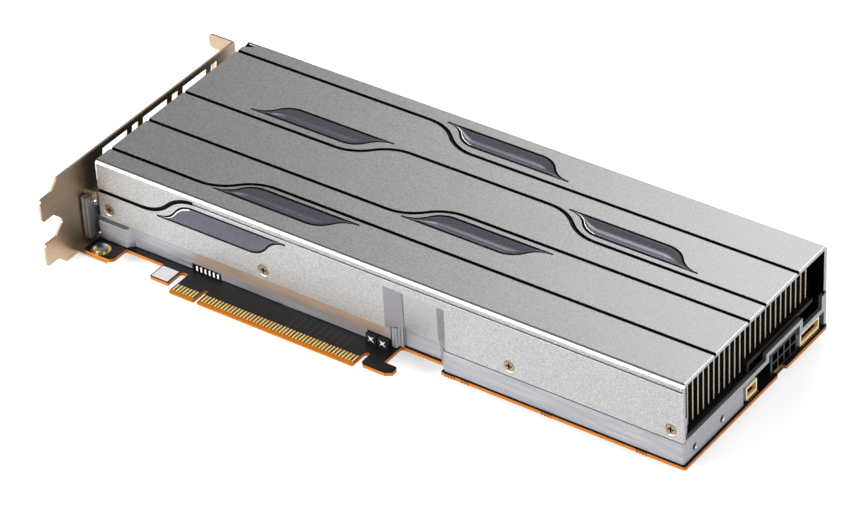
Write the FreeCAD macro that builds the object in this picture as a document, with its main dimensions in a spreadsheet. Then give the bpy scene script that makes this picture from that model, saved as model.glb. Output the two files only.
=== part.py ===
"""Passive accelerator card: dual-slot, full-height PCI Express add-in card.

Card axes while modelling: X runs from the bracket end of the cover to the open rear end,
Y from the cover's front face (above the edge fingers) to its back face, Z up from the
board's component face.  Every sub-part is then placed so that the origin is the centre of
the key notch, on the finger edge, in the plane of the board's component face.
"""
import FreeCAD, Part
import math
import os
import re
import Sketcher

os.makedirs("parts", exist_ok=True)
doc = FreeCAD.newDocument("accelerator_card")
sheet = doc.addObject("Spreadsheet::Sheet", "Sizes")
V = FreeCAD.Vector

SIZES = (
    # board and edge fingers
    ("board_thick", 1.6, "board thickness"),
    ("board_over", 0.2, "board beyond the cover's back face"),
    ("board_before", 1.0, "board beyond the cover's bracket end"),
    ("board_proud", 0.8, "board beyond the cover's rear end"),
    ("board_lip", 0.5, "board beyond the cover's front face"),
    ("board_corner", 1.3, "board's corner radius"),
    ("finger_depth", 14.15, "finger edge below the cover's front face"),
    ("finger_corner", 0.5, "finger tab's corner radius"),
    ("key_centre", 55.1, "key notch centre from the cover's bracket end"),
    ("key_width", 1.9, "key notch width"),
    ("key_depth", 7.75, "key notch depth"),
    ("tab_before_key", 12.15, "finger tab before the key notch"),
    ("tab_after_key", 72.15, "finger tab after the key notch"),
    ("pin_pitch", 1.0, "contact pitch"),
    ("first_pin", -11.5, "first contact from the key notch"),
    ("second_bank", 1.5, "first contact after the key notch"),
    ("pin_width", 0.7, "contact width"),
    ("pin_run", 3.95, "contact length"),
    ("pin_thick", 0.05, "contact plating as built"),
    ("bevel_run", 1.3, "finger bevel length"),
    ("bevel_fall", 0.45, "finger bevel depth"),
    ("tab_drop", 10.3, "bracket and label tabs below the cover's front face"),
    ("shore_line", 1.7, "board's edge between the tabs, below the cover's front face"),
    ("screw_tab_end", 12.6, "bracket screw tab's end"),
    ("screw_tab_corner", 2.2, "bracket screw tab's corner radius"),
    ("label_tab_start", 31.0, "label tab's first side"),
    ("label_tab_end", 39.5, "label tab's second side"),
    ("tab_corner", 0.4, "small corners of the tabs"),
    ("hook_gap", 2.3, "gap between the finger tab and the retention hook"),
    ("hook_gap_end", 5.4, "that gap's closed end below the cover's front face"),
    ("hook_low", 12.0, "retention hook's lower edge"),
    ("hook_high", 6.9, "retention hook's upper edge"),
    ("hook_reach", 6.2, "retention hook beyond the set-back's edge"),
    ("hook_corner", 1.2, "retention hook's first chamfer"),
    ("hook_nose", 2.4, "retention hook's nose chamfer"),
    ("latch_depth", 4.2, "board's set-back beside the retention hook"),
    ("latch_start", 136.6, "set-back's bracket-side edge"),
    ("latch_end", 157.3, "set-back's rear-side edge"),
    ("rear_notch_back", 35.0, "rear edge notch from the board's back edge"),
    ("rear_notch_wide", 5.9, "rear edge notch width"),
    ("rear_notch_deep", 2.3, "rear edge notch depth"),
    ("rear_notch_corner", 0.6, "rear edge notch corner radius"),
    ("tooth_dia", 0.7, "break-off teeth left on the front edge"),
    ("tooth_pitch", 1.25, "break-off tooth spacing"),
    ("teeth_after", 1.9, "first break-off teeth behind the set-back"),
    ("teeth_second", 9.1, "second break-off teeth behind the set-back"),
    ("teeth_third", 59.1, "third break-off teeth from the open end"),
    ("teeth_last", 19.1, "last break-off teeth from the open end"),
    # cover
    ("cover_length", 260.0, "cover along X"),
    ("cover_width", 96.8, "cover along Y"),
    ("cover_top", 35.2, "cover's top face above the board"),
    ("cover_wall", 1.5, "cover sheet"),
    ("cover_bevel", 1.2, "chamfer along the cover's long top edges"),
    ("bevel_round", 0.7, "radius between the chamfer and the top face"),
    ("front_seam", 9.5, "cover's front lower edge above the board"),
    ("back_seam", 15.5, "cover's back lower edge above the board"),
    ("groove_width", 1.25, "engraved line width"),
    ("groove_depth", 0.6, "engraved line depth"),
    ("groove_first", 9.8, "first engraved line from the front face"),
    ("groove_pitch", 11.2, "engraved line spacing"),
    ("bend_run", 27.0, "length of an engraved line's side step"),
    ("corner_run", 8.6, "corner pocket along X"),
    ("corner_rise", 3.9, "corner pocket along Y"),
    ("leaf_run", 60.2, "inlay length"),
    ("leaf_rise", 9.5, "inlay width"),
    ("leaf_sweep", 17.4, "length of an inlay's curved end"),
    ("leaf_tip", 0.5, "inlay tip width"),
    ("leaf_sink", 1.1, "inlay pocket depth"),
    ("leaf_thick", 0.35, "inlay thickness"),
    ("leaf_play", 0.15, "inlay clearance all round"),
    ("side_line_low", 21.8, "front engraved line's lower level"),
    ("side_line_high", 32.3, "front engraved line's upper level"),
    ("side_step_start", 21.5, "front engraved line's side step, first end"),
    ("side_step_run", 25.5, "front engraved line's side step along X"),
    ("side_leaf_start", 28.7, "front inlay's first tip"),
    ("side_leaf_low", 20.3, "front inlay's lower edge"),
    ("recess_depth", 3.8, "latch clearance recess in the cover's front wall"),
    ("recess_start", 132.7, "recess mouth, bracket side"),
    ("recess_end", 159.5, "recess mouth, rear side"),
    ("recess_slope", 5.8, "recess side wall along X"),
    ("recess_round", 0.8, "recess corner radius"),
    ("recess_skin", 1.2, "recess skin along X"),
    ("recess_top", 28.2, "recess ceiling above the board"),
    # frame
    ("frame_gap", 0.3, "frame wall above the board"),
    ("frame_wall", 1.5, "frame wall"),
    ("frame_set_back", 1.4, "front wall's set-back above the fingers"),
    ("frame_latch", 5.0, "front wall's set-back beside the hook"),
    ("block_end", 12.8, "front wall's first block along X"),
    ("block_seam", 0.7, "seam above the first block"),
    ("block_proud", 1.2, "first block beyond the cover's front face"),
    ("turn_start", 134.5, "front wall's turn towards the hook's set-back"),
    ("turn_run", 3.2, "that turn along X"),
    ("turn_end", 153.6, "front wall's turn back"),
    ("turn_out", 5.0, "the turn back along X"),
    ("frame_round", 0.8, "frame's outer corner radius"),
    ("rib_dia", 1.5, "half-round ribs on the turn"),
    ("slot_width", 0.45, "slot beside the ribs"),
    ("seam_gap", 0.2, "seam between cover and frame"),
    ("lip_height", 2.6, "frame lip behind the cover"),
    ("lip_play", 0.1, "frame lip clearance to the cover"),
    ("lip_thick", 1.4, "frame lip"),
    ("lip_stop", 6.0, "frame lips end before the rear end"),
    ("boss_size", 7.0, "frame boss width"),
    ("boss_side", 9.0, "frame boss centres from the long sides"),
    ("ear_width", 8.0, "cover screw ear width"),
    ("ear_thick", 3.0, "cover screw ear thickness"),
    ("ear_over", 4.0, "cover screw ear beyond the screw's centre"),
    ("screw_first", 4.8, "first cover screws along X"),
    ("screw_second", 77.7, "second front cover screw along X"),
    ("screw_third", 187.0, "third front cover screw along X"),
    ("screw_last", 5.4, "last front cover screw from the rear end"),
    ("line_second", 88.0, "second back cover screw and second board screws along X"),
    ("line_third", 172.0, "third back cover screw and third board screws along X"),
    ("back_screw_last", 20.0, "last back cover screw from the rear end"),
    ("boss_first", 10.0, "first board screws along X"),
    ("boss_last", 24.0, "last board screws from the rear end"),
    ("front_screw_z", 14.0, "front cover screws above the board"),
    ("back_screw_z", 20.5, "back cover screws above the board"),
    ("strip_back", 57.3, "rear strip's full-height part, to the back face"),
    ("arch_back", 41.8, "arch over the power header, near side to the back face"),
    ("arch_end", 16.6, "arch over the power header, far side to the back face"),
    ("arch_top", 13.1, "arch above the board"),
    ("strip_top", 10.3, "rear strip above the board"),
    ("shelf_bar", 8.5, "rear strip behind the arch, above the board"),
    ("bar_thick", 2.0, "rear strip's narrow bars"),
    ("end_post_high", 14.0, "rear strip's post beside the back wall, above the board"),
    ("end_post_wide", 1.6, "that post along Y"),
    ("rear_hole_first", 7.4, "first rear threaded hole along Y"),
    ("rear_hole_second", 25.5, "second rear threaded hole along Y"),
    ("rear_hole_z", 3.9, "rear threaded holes above the board"),
    ("rear_hole_dia", 2.5, "rear threaded hole, core diameter"),
    ("rear_hole_sink", 3.4, "rear threaded hole's mouth"),
    ("rear_hole_deep", 6.0, "rear threaded hole depth"),
    ("post_start", 5.6, "bracket post before the cover's end, far side"),
    ("post_end", 2.6, "bracket post before the cover's end, near side"),
    ("post_front", 3.6, "bracket post beyond the cover's front face"),
    ("post_back", 4.5, "bracket post behind the cover's front face"),
    ("post_top", 18.5, "bracket post above the board"),
    ("post_line", 0.3, "line cut down the bracket post"),
    ("lug_low", 14.9, "post's screw lug above the board"),
    ("row_start", 42.3, "opening for the chip row along X"),
    ("row_run", 13.7, "opening for the chip row, length"),
    ("row_top", 3.0, "opening for the chip row, height"),
    ("pair_start", 123.4, "opening for the chip pair along X"),
    ("pair_run", 10.6, "opening for the chip pair, length"),
    ("pair_top", 4.1, "opening for the chip pair, height"),
    # bracket
    ("bracket_gap", 6.5, "bracket's inner face from the cover's end"),
    ("bracket_sheet", 0.9, "bracket sheet"),
    ("bracket_low", -5.4, "bracket's lower edge from the board's face"),
    ("bracket_wide", 38.74, "bracket width across two slots"),
    ("bracket_long", 120.02, "bracket overall length"),
    ("flange_inset", 1.8, "flange's outer face before the cover's back face"),
    ("flange_reach", 11.43, "flange beyond the bracket's outer face"),
    ("flange_notch", 2.2, "half of a slot screw notch"),
    ("flange_notch_deep", 7.0, "slot screw notch depth"),
    ("flange_lead", 2.2, "notch's lead-in along X"),
    ("flange_lead_rise", 1.1, "notch's lead-in along Z"),
    ("flange_rise", 0.9, "notch above its tongue's centre"),
    ("tongue_wide", 10.19, "tongue width"),
    ("slot_pitch", 20.32, "expansion slot pitch"),
    ("tongue_low", 3.6, "lower tongue's centre above the board's face"),
    ("shoulder", 14.2, "bracket shoulder below the cover's front face"),
    ("shoulder_slope", 4.3, "sloped shoulder"),
    ("waist", 0.9, "half of the bridge between the tongues"),
    ("bracket_cut_first", 7.0, "bracket's lower step before the cover's front face"),
    ("bracket_cut_last", 12.0, "bracket's lower step behind the cover's front face"),
    ("vent_first", 11.6, "first vent along Y"),
    ("vent_long", 15.6, "long vent along Y"),
    ("vent_short", 4.4, "short vent along Y"),
    ("vent_web", 2.3, "web between vents"),
    ("vent_lean", 0.9, "slant of a vent's ends"),
    ("vent_height", 4.6, "vent along Z"),
    ("vent_row", 6.2, "vent row spacing"),
    ("vent_top", 31.0, "top row's upper edge above the board"),
    ("vent_rows", 4.0, "number of vent rows"),
    ("vent_margin", 4.0, "last vent before the flange"),
    ("foot_run", 17.5, "bracket foot along X"),
    ("foot_wide", 13.6, "bracket foot along Y"),
    ("strap_rise", 2.0, "bracket strap above the post"),
    ("strap_end", 0.3, "bracket strap before the cover's end"),
    ("screw_tab_x", 4.7, "bracket screw along X"),
    ("screw_tab_y", -6.9, "bracket screw along Y"),
    # screws
    ("head_dia", 4.3, "cover screw head"),
    ("head_rise", 1.2, "cover screw head height"),
    ("head_play", 0.15, "radial clearance round a sunk head"),
    ("screw_dia", 2.4, "cover screw shank"),
    ("hole_play", 0.1, "radial clearance round a shank"),
    ("pan_dia", 5.8, "bracket screw head"),
    ("pan_rise", 1.9, "bracket screw head height"),
    ("pan_shank", 3.0, "bracket screw shank"),
    ("cross_width", 0.65, "cross recess width"),
    ("side_head", 2.1, "strap screw head"),
    ("side_shank", 1.2, "strap screw shank"),
    ("side_cross", 0.4, "strap screw's recess width"),
    ("side_screw_x", -1.4, "strap screw along X"),
    ("side_screw_z", 16.7, "strap screw above the board"),
    # heat sink
    ("sink_low", 8.5, "heat sink base, lower face"),
    ("sink_high", 11.0, "heat sink base, upper face"),
    ("sink_start", 3.0, "heat sink base along X"),
    ("sink_end", 1.7, "heat sink base before the rear end"),
    ("sink_side", 6.9, "heat sink base from the long sides"),
    ("shelf_low", 13.6, "raised shelf, lower face"),
    ("shelf_high", 15.3, "raised shelf, upper face"),
    ("shelf_run", 38.0, "raised shelf's start before the rear end"),
    ("shelf_back", 50.8, "raised shelf's start before the back face"),
    ("shelf_wall", 1.6, "wall between the base and its shelf"),
    ("stud_dia", 6.5, "clamp studs under the base"),
    ("fin_pitch", 3.47, "fin spacing"),
    ("fin_thick", 0.8, "fin thickness"),
    ("fin_first", 8.65, "first fin's centre along Y"),
    ("fin_last", 8.3, "room between the last fin's centre and the back face"),
    ("fin_start", 6.0, "fins along X"),
    ("fin_set_back", 3.9, "fins from the rear end"),
    ("fin_gap", 0.3, "fins below the cover"),
    # processor and its power parts
    ("die_centre_x", 112.0, "processor centre along X"),
    ("die_shift", 1.6, "processor centre behind the cover's middle"),
    ("package_side", 52.0, "processor package"),
    ("package_thick", 1.8, "processor package thickness"),
    ("ring_wide", 3.5, "stiffener ring's width"),
    ("ring_thick", 0.7, "stiffener ring's thickness"),
    ("die_x", 25.0, "die along X"),
    ("die_y", 32.0, "die along Y"),
    ("die_thick", 0.8, "die thickness"),
    ("stack_x", 8.6, "memory stack along X"),
    ("stack_y", 10.6, "memory stack along Y"),
    ("stack_off", 17.6, "memory stacks' centre line from the die's centre"),
    ("stack_pitch", 11.5, "memory stack spacing"),
    ("paste_thick", 0.1, "thermal paste"),
    ("pedestal_x", 48.0, "heat sink pedestal along X"),
    ("pedestal_y", 40.0, "heat sink pedestal along Y"),
    ("clamp_x", 31.0, "clamp screws from the processor's centre along X"),
    ("clamp_y", 24.8, "clamp screws from the processor's centre along Y"),
    ("column_gap", 49.0, "inductor columns from the processor's centre"),
    ("row_pitch", 11.4, "inductor spacing"),
    ("power_margin", 14.0, "inductor rows from the cover's long sides"),
    ("inductor_side", 10.0, "inductor"),
    ("inductor_high", 7.0, "inductor height"),
    ("stage_gap", 6.4, "power stages beside the inductors' centres"),
    ("stage_x", 6.0, "power stage along X"),
    ("stage_y", 5.0, "power stage along Y"),
    ("stage_high", 1.0, "power stage height"),
    ("can_gap", 10.0, "capacitors beside the inductors' centres"),
    ("can_dia", 6.3, "capacitor diameter"),
    ("can_high", 7.2, "capacitor height"),
    # connectors and small parts
    ("header_face", 0.8, "connector faces before the rear end"),
    ("power_back", 37.6, "power header's near side to the back face"),
    ("power_wide", 18.8, "power header along Y"),
    ("power_deep", 12.0, "power header along X"),
    ("power_high", 9.6, "power header height"),
    ("cell_pitch", 4.2, "power header cell spacing"),
    ("cell_side", 3.5, "power header cell"),
    ("cell_first", 3.1, "first cell's centre from the header's side"),
    ("cell_low", 2.7, "lower cells' centre above the board"),
    ("cell_deep", 9.0, "power header cell depth"),
    ("blade_side", 1.14, "power header blade"),
    ("blade_run", 6.5, "power header blade length"),
    ("lock_rise", 1.3, "power header lock ramp height"),
    ("lock_wide", 5.0, "power header lock ramp along Y"),
    ("lock_run", 8.0, "power header lock ramp along X"),
    ("sensor_back", 54.2, "sensor header's near side to the back face"),
    ("signal_back", 17.0, "signal header's near side to the back face"),
    ("small_pitch", 1.5, "small header pin pitch"),
    ("small_ends", 1.4, "small header beyond its pins"),
    ("small_deep", 7.0, "small header along X"),
    ("small_high", 5.6, "small header height"),
    ("small_wall", 0.8, "small header wall"),
    ("small_floor", 1.3, "small header floor above the board"),
    ("small_room", 3.4, "small header's opening height"),
    ("small_back", 5.8, "small header's opening depth"),
    ("pin_side", 0.5, "small header pin"),
    ("row_chip_first", 44.3, "first chip of the row along X"),
    ("row_chip_pitch", 1.98, "chip row spacing"),
    ("row_chip_y", 1.0, "chip row behind the cover's front face"),
    ("row_chip_wide", 1.2, "row chip along X"),
    ("row_chip_deep", 1.7, "row chip along Y"),
    ("row_chip_high", 2.5, "row chip height"),
    ("pair_chip_first", 123.8, "first chip of the pair along X"),
    ("pair_chip_pitch", 5.2, "chip pair spacing"),
    ("pair_chip_y", -0.4, "chip pair behind the cover's front face"),
    ("pair_chip_side", 4.7, "pair chip along X"),
    ("pair_chip_deep", 3.2, "pair chip along Y"),
    ("pair_chip_high", 3.8, "pair chip height"),
    ("chip_side", 9.0, "control chip"),
    ("chip_before", 31.8, "control chips before the first inductor column"),
    ("chip_behind", 28.8, "control chip behind the second inductor column"),
    ("chip_step", 10.4, "last control chip behind its neighbour"),
    ("chip_high", 1.2, "control chip height"),
    ("label_edge", 0.5, "board left bare round the label"),
    ("label_run", 7.0, "label along Y"),
    ("label_thick", 0.1, "label"),
    # lower side
    ("plate_thick", 1.0, "backplate thickness"),
    ("plate_gap", 1.6, "backplate below the board"),
    ("plate_inset", 3.0, "backplate inside the cover's long sides"),
    ("plate_front", 7.0, "backplate's edge above the fingers"),
    ("plate_latch", 9.5, "backplate's edge beside the hook"),
    ("plate_end", 2.0, "backplate before the rear end"),
    ("plate_play", 2.2, "backplate clear of the frame's turns"),
    ("plate_slant", 2.5, "backplate's slanted steps along X"),
    ("plate_sink", 0.9, "countersink as a share of the backplate"),
    ("spacer_dia", 5.0, "backplate spacer"),
    ("plate_screw", 9.0, "backplate screw length"),
    ("window_dia", 7.5, "backplate window over a clamp screw"),
    ("clamp_thick", 1.0, "clamp plate"),
    ("clamp_rim", 5.0, "clamp plate beyond its screws"),
    ("clamp_arm", 6.0, "clamp plate inside its screws"),
    ("clamp_head", 5.5, "clamp screw head"),
    ("clamp_head_rise", 1.3, "clamp screw head height"),
    ("clamp_run", 8.0, "clamp screw shank"),
)
for row, (alias, value, note) in enumerate(SIZES, 1):
    sheet.set(f"A{row}", str(value))
    sheet.setAlias(f"A{row}", alias)
    sheet.set(f"B{row}", note)
doc.recompute()
ALIASES = re.compile(r"\b(" + "|".join(name for name, _, _ in SIZES) + r")\b")
OVERRUN = 1.0


def size(name):
    """Plain value of a sheet cell."""
    return float(getattr(sheet, name))


LENGTH = size("cover_length")
WIDTH = size("cover_width")
TOP = size("cover_top")
WALL = size("cover_wall")
DIE_Y = "(cover_width / 2 + die_shift)"
PASS_HOLE = "(screw_dia + 2 * hole_play)"
WALL_RISE = "(front_seam - seam_gap - frame_gap)"
LIP_INNER = "(cover_wall + lip_play)"

FRONT_SCREWS = (size("screw_first"), size("screw_second"), size("screw_third"), LENGTH - size("screw_last"))
MID_LINES = (size("line_second"), size("line_third"))
BACK_SCREWS = (size("screw_first"), *MID_LINES, LENGTH - size("back_screw_last"))
BOSS_LINE = (size("boss_first"), *MID_LINES, LENGTH - size("boss_last"))
BOSSES = [(x, y) for y in (size("boss_side"), WIDTH - size("boss_side")) for x in BOSS_LINE]
# each inlay: its left end as a share of the cover's length, its lower edge in engraved-line
# spacings from the first line, and whether its curved ends rise along X
LANES = ((0.3800, 6.357, False), (0.1138, 4.339, True), (0.6508, 4.268, False), (0.4588, 1.902, True),
         (0.1896, -0.0625, True))
LEAVES = [(share * LENGTH, size("groove_first") + lane * size("groove_pitch"), rising)
          for share, lane, rising in LANES]
SIDE_LEAF = (size("side_leaf_start"), size("side_leaf_low"), True)
# each engraved line: its first level, then each side step's start as a share of the cover's
# length and the level it leads to
GROOVES = ((0, (0.1635, 1)), (2, (0.4315, 3)), (4, (0.2765, 5), (0.6200, 4)), (7, (0.3535, 6)))
# break-off teeth: the first tooth of each group and the number of teeth in it
TOOTH_GROUPS = ((size("latch_end") + size("teeth_after"), 4), (size("latch_end") + size("teeth_second"), 3),
                (LENGTH - size("teeth_third"), 4), (LENGTH - size("teeth_last"), 4))
# control chips: place beside the inductor columns and share of the cover's width
CONTROL_CHIPS = (("-column_gap - chip_before", 0.31), ("-column_gap - chip_before", 0.60),
                 ("column_gap + chip_behind", 0.31), ("column_gap + chip_behind + chip_step", 0.64))
NODES = []


def bind(obj, prop, text):
    """Tie a property to an expression in which sheet names are written bare."""
    obj.setExpression(prop, ALIASES.sub(r"Sizes.\1", str(text)))


def place(obj, at, turn=None):
    """Bind an object's position, after an optional fixed turn (axis, degrees)."""
    if turn:
        obj.Placement = FreeCAD.Placement(V(), FreeCAD.Rotation(V(*turn[0]), turn[1]))
    for letter, text in zip("xyz", at):
        bind(obj, f"Placement.Base.{letter}", text)
    return obj


def box(name, at, spans):
    """Block from a lower corner and three spans, all as expressions."""
    obj = doc.addObject("Part::Box", name)
    for prop, text in zip(("Length", "Width", "Height"), spans):
        bind(obj, prop, text)
    return place(obj, at)


def centred(name, x, y, level, spans):
    """Block centred on a point of the board."""
    return box(name, (f"{x} - ({spans[0]}) / 2", f"{y} - ({spans[1]}) / 2", level), spans)


TURNS = {"x": ((0, 1, 0), 90), "y": ((1, 0, 0), -90), "z": None, "-z": ((1, 0, 0), 180),
         "-y": ((1, 0, 0), 90), "-x": ((0, 1, 0), -90)}


def rod(name, at, dia, run, axis="z"):
    """Cylinder from the centre of its first face, along an axis."""
    obj = doc.addObject("Part::Cylinder", name)
    bind(obj, "Radius", f"({dia}) / 2")
    bind(obj, "Height", run)
    return place(obj, at, TURNS[axis])


def cone(name, at, dia_first, dia_last, run, axis="z"):
    """Cone from the centre of its first face, along an axis."""
    obj = doc.addObject("Part::Cone", name)
    bind(obj, "Radius1", f"({dia_first}) / 2")
    bind(obj, "Radius2", f"({dia_last}) / 2")
    bind(obj, "Height", run)
    return place(obj, at, TURNS[axis])


def fuse(name, pieces):
    """One solid from several that meet."""
    obj = doc.addObject("Part::MultiFuse", name)
    obj.Shapes = list(pieces)
    obj.Refine = True
    return obj


def group(name, pieces):
    """Separate solids kept together as one node."""
    obj = doc.addObject("Part::Compound", name)
    obj.Links = list(pieces)
    return obj


def cut(name, base, tools):
    """Base without the tools."""
    tools = list(tools)
    obj = doc.addObject("Part::Cut", name)
    obj.Base = base
    obj.Tool = tools[0] if len(tools) == 1 else group(name + "_tools", tools)
    return obj


def node(obj, label):
    """Name a sub-part and place it from the card's corner to the key-notch datum."""
    obj.Label = label
    place(obj, ("-key_centre", "finger_depth", "0"))
    NODES.append(obj)
    return obj


def rounded(corners):
    """Closed outline of lines and arcs from (u, v) or (u, v, radius) corners."""
    edges = []
    joints = []
    count = len(corners)
    for index, corner in enumerate(corners):
        here = V(corner[0], corner[1], 0)
        radius = corner[2] if len(corner) > 2 else 0.0
        if radius <= 0:
            joints.append((here, None, here))
            continue
        before = V(*corners[index - 1][:2], 0) - here
        after = V(*corners[(index + 1) % count][:2], 0) - here
        before.normalize()
        after.normalize()
        half = before.getAngle(after) / 2
        reach = radius / math.tan(half)
        middle = before + after
        middle.normalize()
        middle = here + middle * (radius / math.sin(half) - radius)
        joints.append((here + before * reach, middle, here + after * reach))
    for index, (start, middle, end) in enumerate(joints):
        if middle is not None:
            edges.append(Part.Arc(start, middle, end))
        following = joints[(index + 1) % count][0]
        if end.distanceToPoint(following) > 1e-6:
            edges.append(Part.LineSegment(end, following))
    return edges


def bend(start, end, side=0.0):
    """Two equal tangent arcs that step sideways from start to end, both ends level.

    side moves the pair sideways by a constant width, as one edge of a band.
    """
    run = end[0] - start[0]
    rise = end[1] - start[1]
    radius = (run * run + rise * rise) / (4 * abs(rise))
    up = 1 if rise > 0 else -1
    way = 1 if run > 0 else -1
    half_angle = math.atan2(abs(rise), abs(run))
    arcs = []
    for first in (True, False):
        anchor = start if first else end
        lift = up if first else -up
        centre = V(anchor[0], anchor[1] + lift * radius, 0)
        true_radius = radius - lift * side
        points = []
        for share in (0.0, 0.5, 1.0):
            angle = 2 * half_angle * share
            along = way * true_radius * math.sin(angle) * (1 if first else -1)
            points.append(centre + V(along, -lift * true_radius * math.cos(angle), 0))
        arcs.append(tuple(points if first else points[::-1]))
    return arcs


def chained(steps):
    """Outline edges from (start, middle, end) steps; a step without a middle is straight."""
    return [Part.LineSegment(a, c) if b is None else Part.Arc(a, b, c) for a, b, c in steps]


def backwards(steps):
    """The same steps walked the other way."""
    return [(end, middle, start) for start, middle, end in reversed(steps)]


def band(stops, width):
    """Outline of a line of constant width through level stops joined by side steps."""
    low = []
    high = []
    for edges, side in ((low, -width / 2), (high, width / 2)):
        for first, last in zip(stops, stops[1:]):
            if abs(first[1] - last[1]) < 1e-6:
                edges.append((V(first[0], first[1] + side, 0), None, V(last[0], last[1] + side, 0)))
            else:
                edges.extend(bend(first, last, side))
    first_end = (high[0][0], None, low[0][0])
    last_end = (low[-1][2], None, high[-1][2])
    return chained([*low, last_end, *backwards(high), first_end])


def leaf(left, low, rising, grow=0.0):
    """Inlay outline: two level edges, two pointed tips and two curved ends."""
    run = size("leaf_run")
    rise = size("leaf_rise")
    sweep = size("leaf_sweep")
    tip = size("leaf_tip") - 2 * grow
    first, last = left + grow, left + run - grow
    bottom, top = low + grow, low + rise - grow
    if not rising:
        bottom, top = top, bottom
        tip = -tip
    near = bend((first, bottom + tip), (first + sweep, top))
    far = bend((last - sweep, bottom), (last, top - tip))
    lower = [(V(first, bottom, 0), None, far[0][0]), *far]
    upper = [(far[1][2], None, V(last, top, 0)), (V(last, top, 0), None, near[1][2])]
    return chained(lower + upper + backwards(near) + [(near[0][0], None, V(first, bottom, 0))])


def weld(item, first, count):
    """Coincident constraints between the ends of a closed chain of edges."""
    for index in range(count):
        one = first + index
        two = first + (index + 1) % count
        near = min(((item.getPoint(one, a).distanceToPoint(item.getPoint(two, b)), a, b)
                    for a in (1, 2) for b in (1, 2)))
        item.addConstraint(Sketcher.Constraint("Coincident", one, near[1], two, near[2]))


def sketch(body, name, plane, level, outlines):
    """Sketch on one of the body's origin planes, moved along its normal by level."""
    item = body.newObject("Sketcher::SketchObject", name)
    host = next(f for f in body.Origin.OriginFeatures if f.Role == plane + "_Plane")
    item.AttachmentSupport = [(host, "")]
    item.MapMode = "FlatFace"
    bind(item, "AttachmentOffset.Base.z", level)
    for outline in outlines:
        first = item.GeometryCount
        item.addGeometry(outline, False)
        weld(item, first, len(outline))
    return item


def start_body(name):
    """Empty body."""
    return doc.addObject("PartDesign::Body", name)


def pad(body, name, plane, level, outlines, length):
    """Extrude outlines along the plane's normal."""
    item = body.newObject("PartDesign::Pad", name)
    item.Profile = sketch(body, name + "_sketch", plane, level, outlines)
    bind(item, "Length", length)
    doc.recompute()
    return item


def pocket(body, name, plane, level, outlines, length):
    """Cut outlines against the plane's normal; the body must lose volume."""
    before = body.Shape.Volume
    item = body.newObject("PartDesign::Pocket", name)
    item.Profile = sketch(body, name + "_sketch", plane, level, outlines)
    bind(item, "Length", length)
    doc.recompute()
    if body.Shape.Volume >= before - 1e-6:
        raise ValueError(name + " cuts nothing")
    return item


def slab(name, plane, level, outlines, length):
    """Body that is one extruded set of outlines."""
    body = start_body(name + "_body")
    pad(body, name + "_pad", plane, level, outlines, length)
    return body


def engraved_lines():
    """Outlines of the top face's engraved lines."""
    step = size("bend_run")
    outlines = []
    for first, *steps in GROOVES:
        levels = (first, *(number for _, number in steps))
        heights = [size("groove_first") + number * size("groove_pitch") for number in levels]
        stops = [(-OVERRUN, heights[0])]
        for (share, _), before, after in zip(steps, heights, heights[1:]):
            stops += [(share * LENGTH, before), (share * LENGTH + step, after)]
        stops.append((LENGTH + OVERRUN, heights[-1]))
        outlines.append(band(stops, size("groove_width")))
    return outlines


def corner_outline():
    """Outline of the pocket in the top face's back corner at the bracket end."""
    edge = WIDTH - size("cover_bevel")
    curve = bend((-OVERRUN, edge - size("corner_rise")), (size("corner_run"), edge))
    corner = V(-OVERRUN, edge, 0)
    return chained([*curve, (curve[1][2], None, corner), (corner, None, curve[0][0])])


def cover_section():
    """Cross-section of the channel-shaped cover."""
    bevel = size("cover_bevel")
    turn = size("bevel_round")
    inner = bevel / 2
    roof = TOP - WALL
    return rounded([
        (0, size("front_seam")), (0, TOP - bevel), (bevel, TOP, turn), (WIDTH - bevel, TOP, turn),
        (WIDTH, TOP - bevel), (WIDTH, size("back_seam")), (WIDTH - WALL, size("back_seam")),
        (WIDTH - WALL, roof - inner), (WIDTH - WALL - inner, roof), (WALL + inner, roof),
        (WALL, roof - inner), (WALL, size("front_seam"))])


def recess_outlines():
    """Outer skin and inner mouth of the latch recess, seen from above."""
    start, end = size("recess_start"), size("recess_end")
    depth, slope = size("recess_depth"), size("recess_slope")
    skin, turn = size("recess_skin"), size("recess_round")
    hidden = WALL / 8
    outer = rounded([(start - skin, hidden), (start - skin + slope, depth + WALL, turn),
                     (end + skin - slope, depth + WALL, turn), (end + skin, hidden)])
    mouth = rounded([(start, -OVERRUN), (start, 0.0), (start + slope, depth, turn),
                     (end - slope, depth, turn), (end, 0.0), (end, -OVERRUN)])
    return outer, mouth


def sunk_holes(name, spots, at, axis):
    """Clearance holes and countersinks for the cover's screws; at gives a spot's face point."""
    tools = []
    for index, x in enumerate(spots):
        face = at(x)
        tools.append(rod(f"{name}_hole_{index}", face, PASS_HOLE, "cover_wall + 1", axis))
        tools.append(cone(f"{name}_sink_{index}", face, "head_dia + 2 * head_play",
                          PASS_HOLE, "head_rise", axis))
    return tools


def front_face(x):
    """Point of the cover's front face at a front screw."""
    return (x, "0", "front_screw_z")


def back_face(x):
    """Point of the cover's back face at a back screw."""
    return (x, "cover_width", "back_screw_z")


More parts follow.
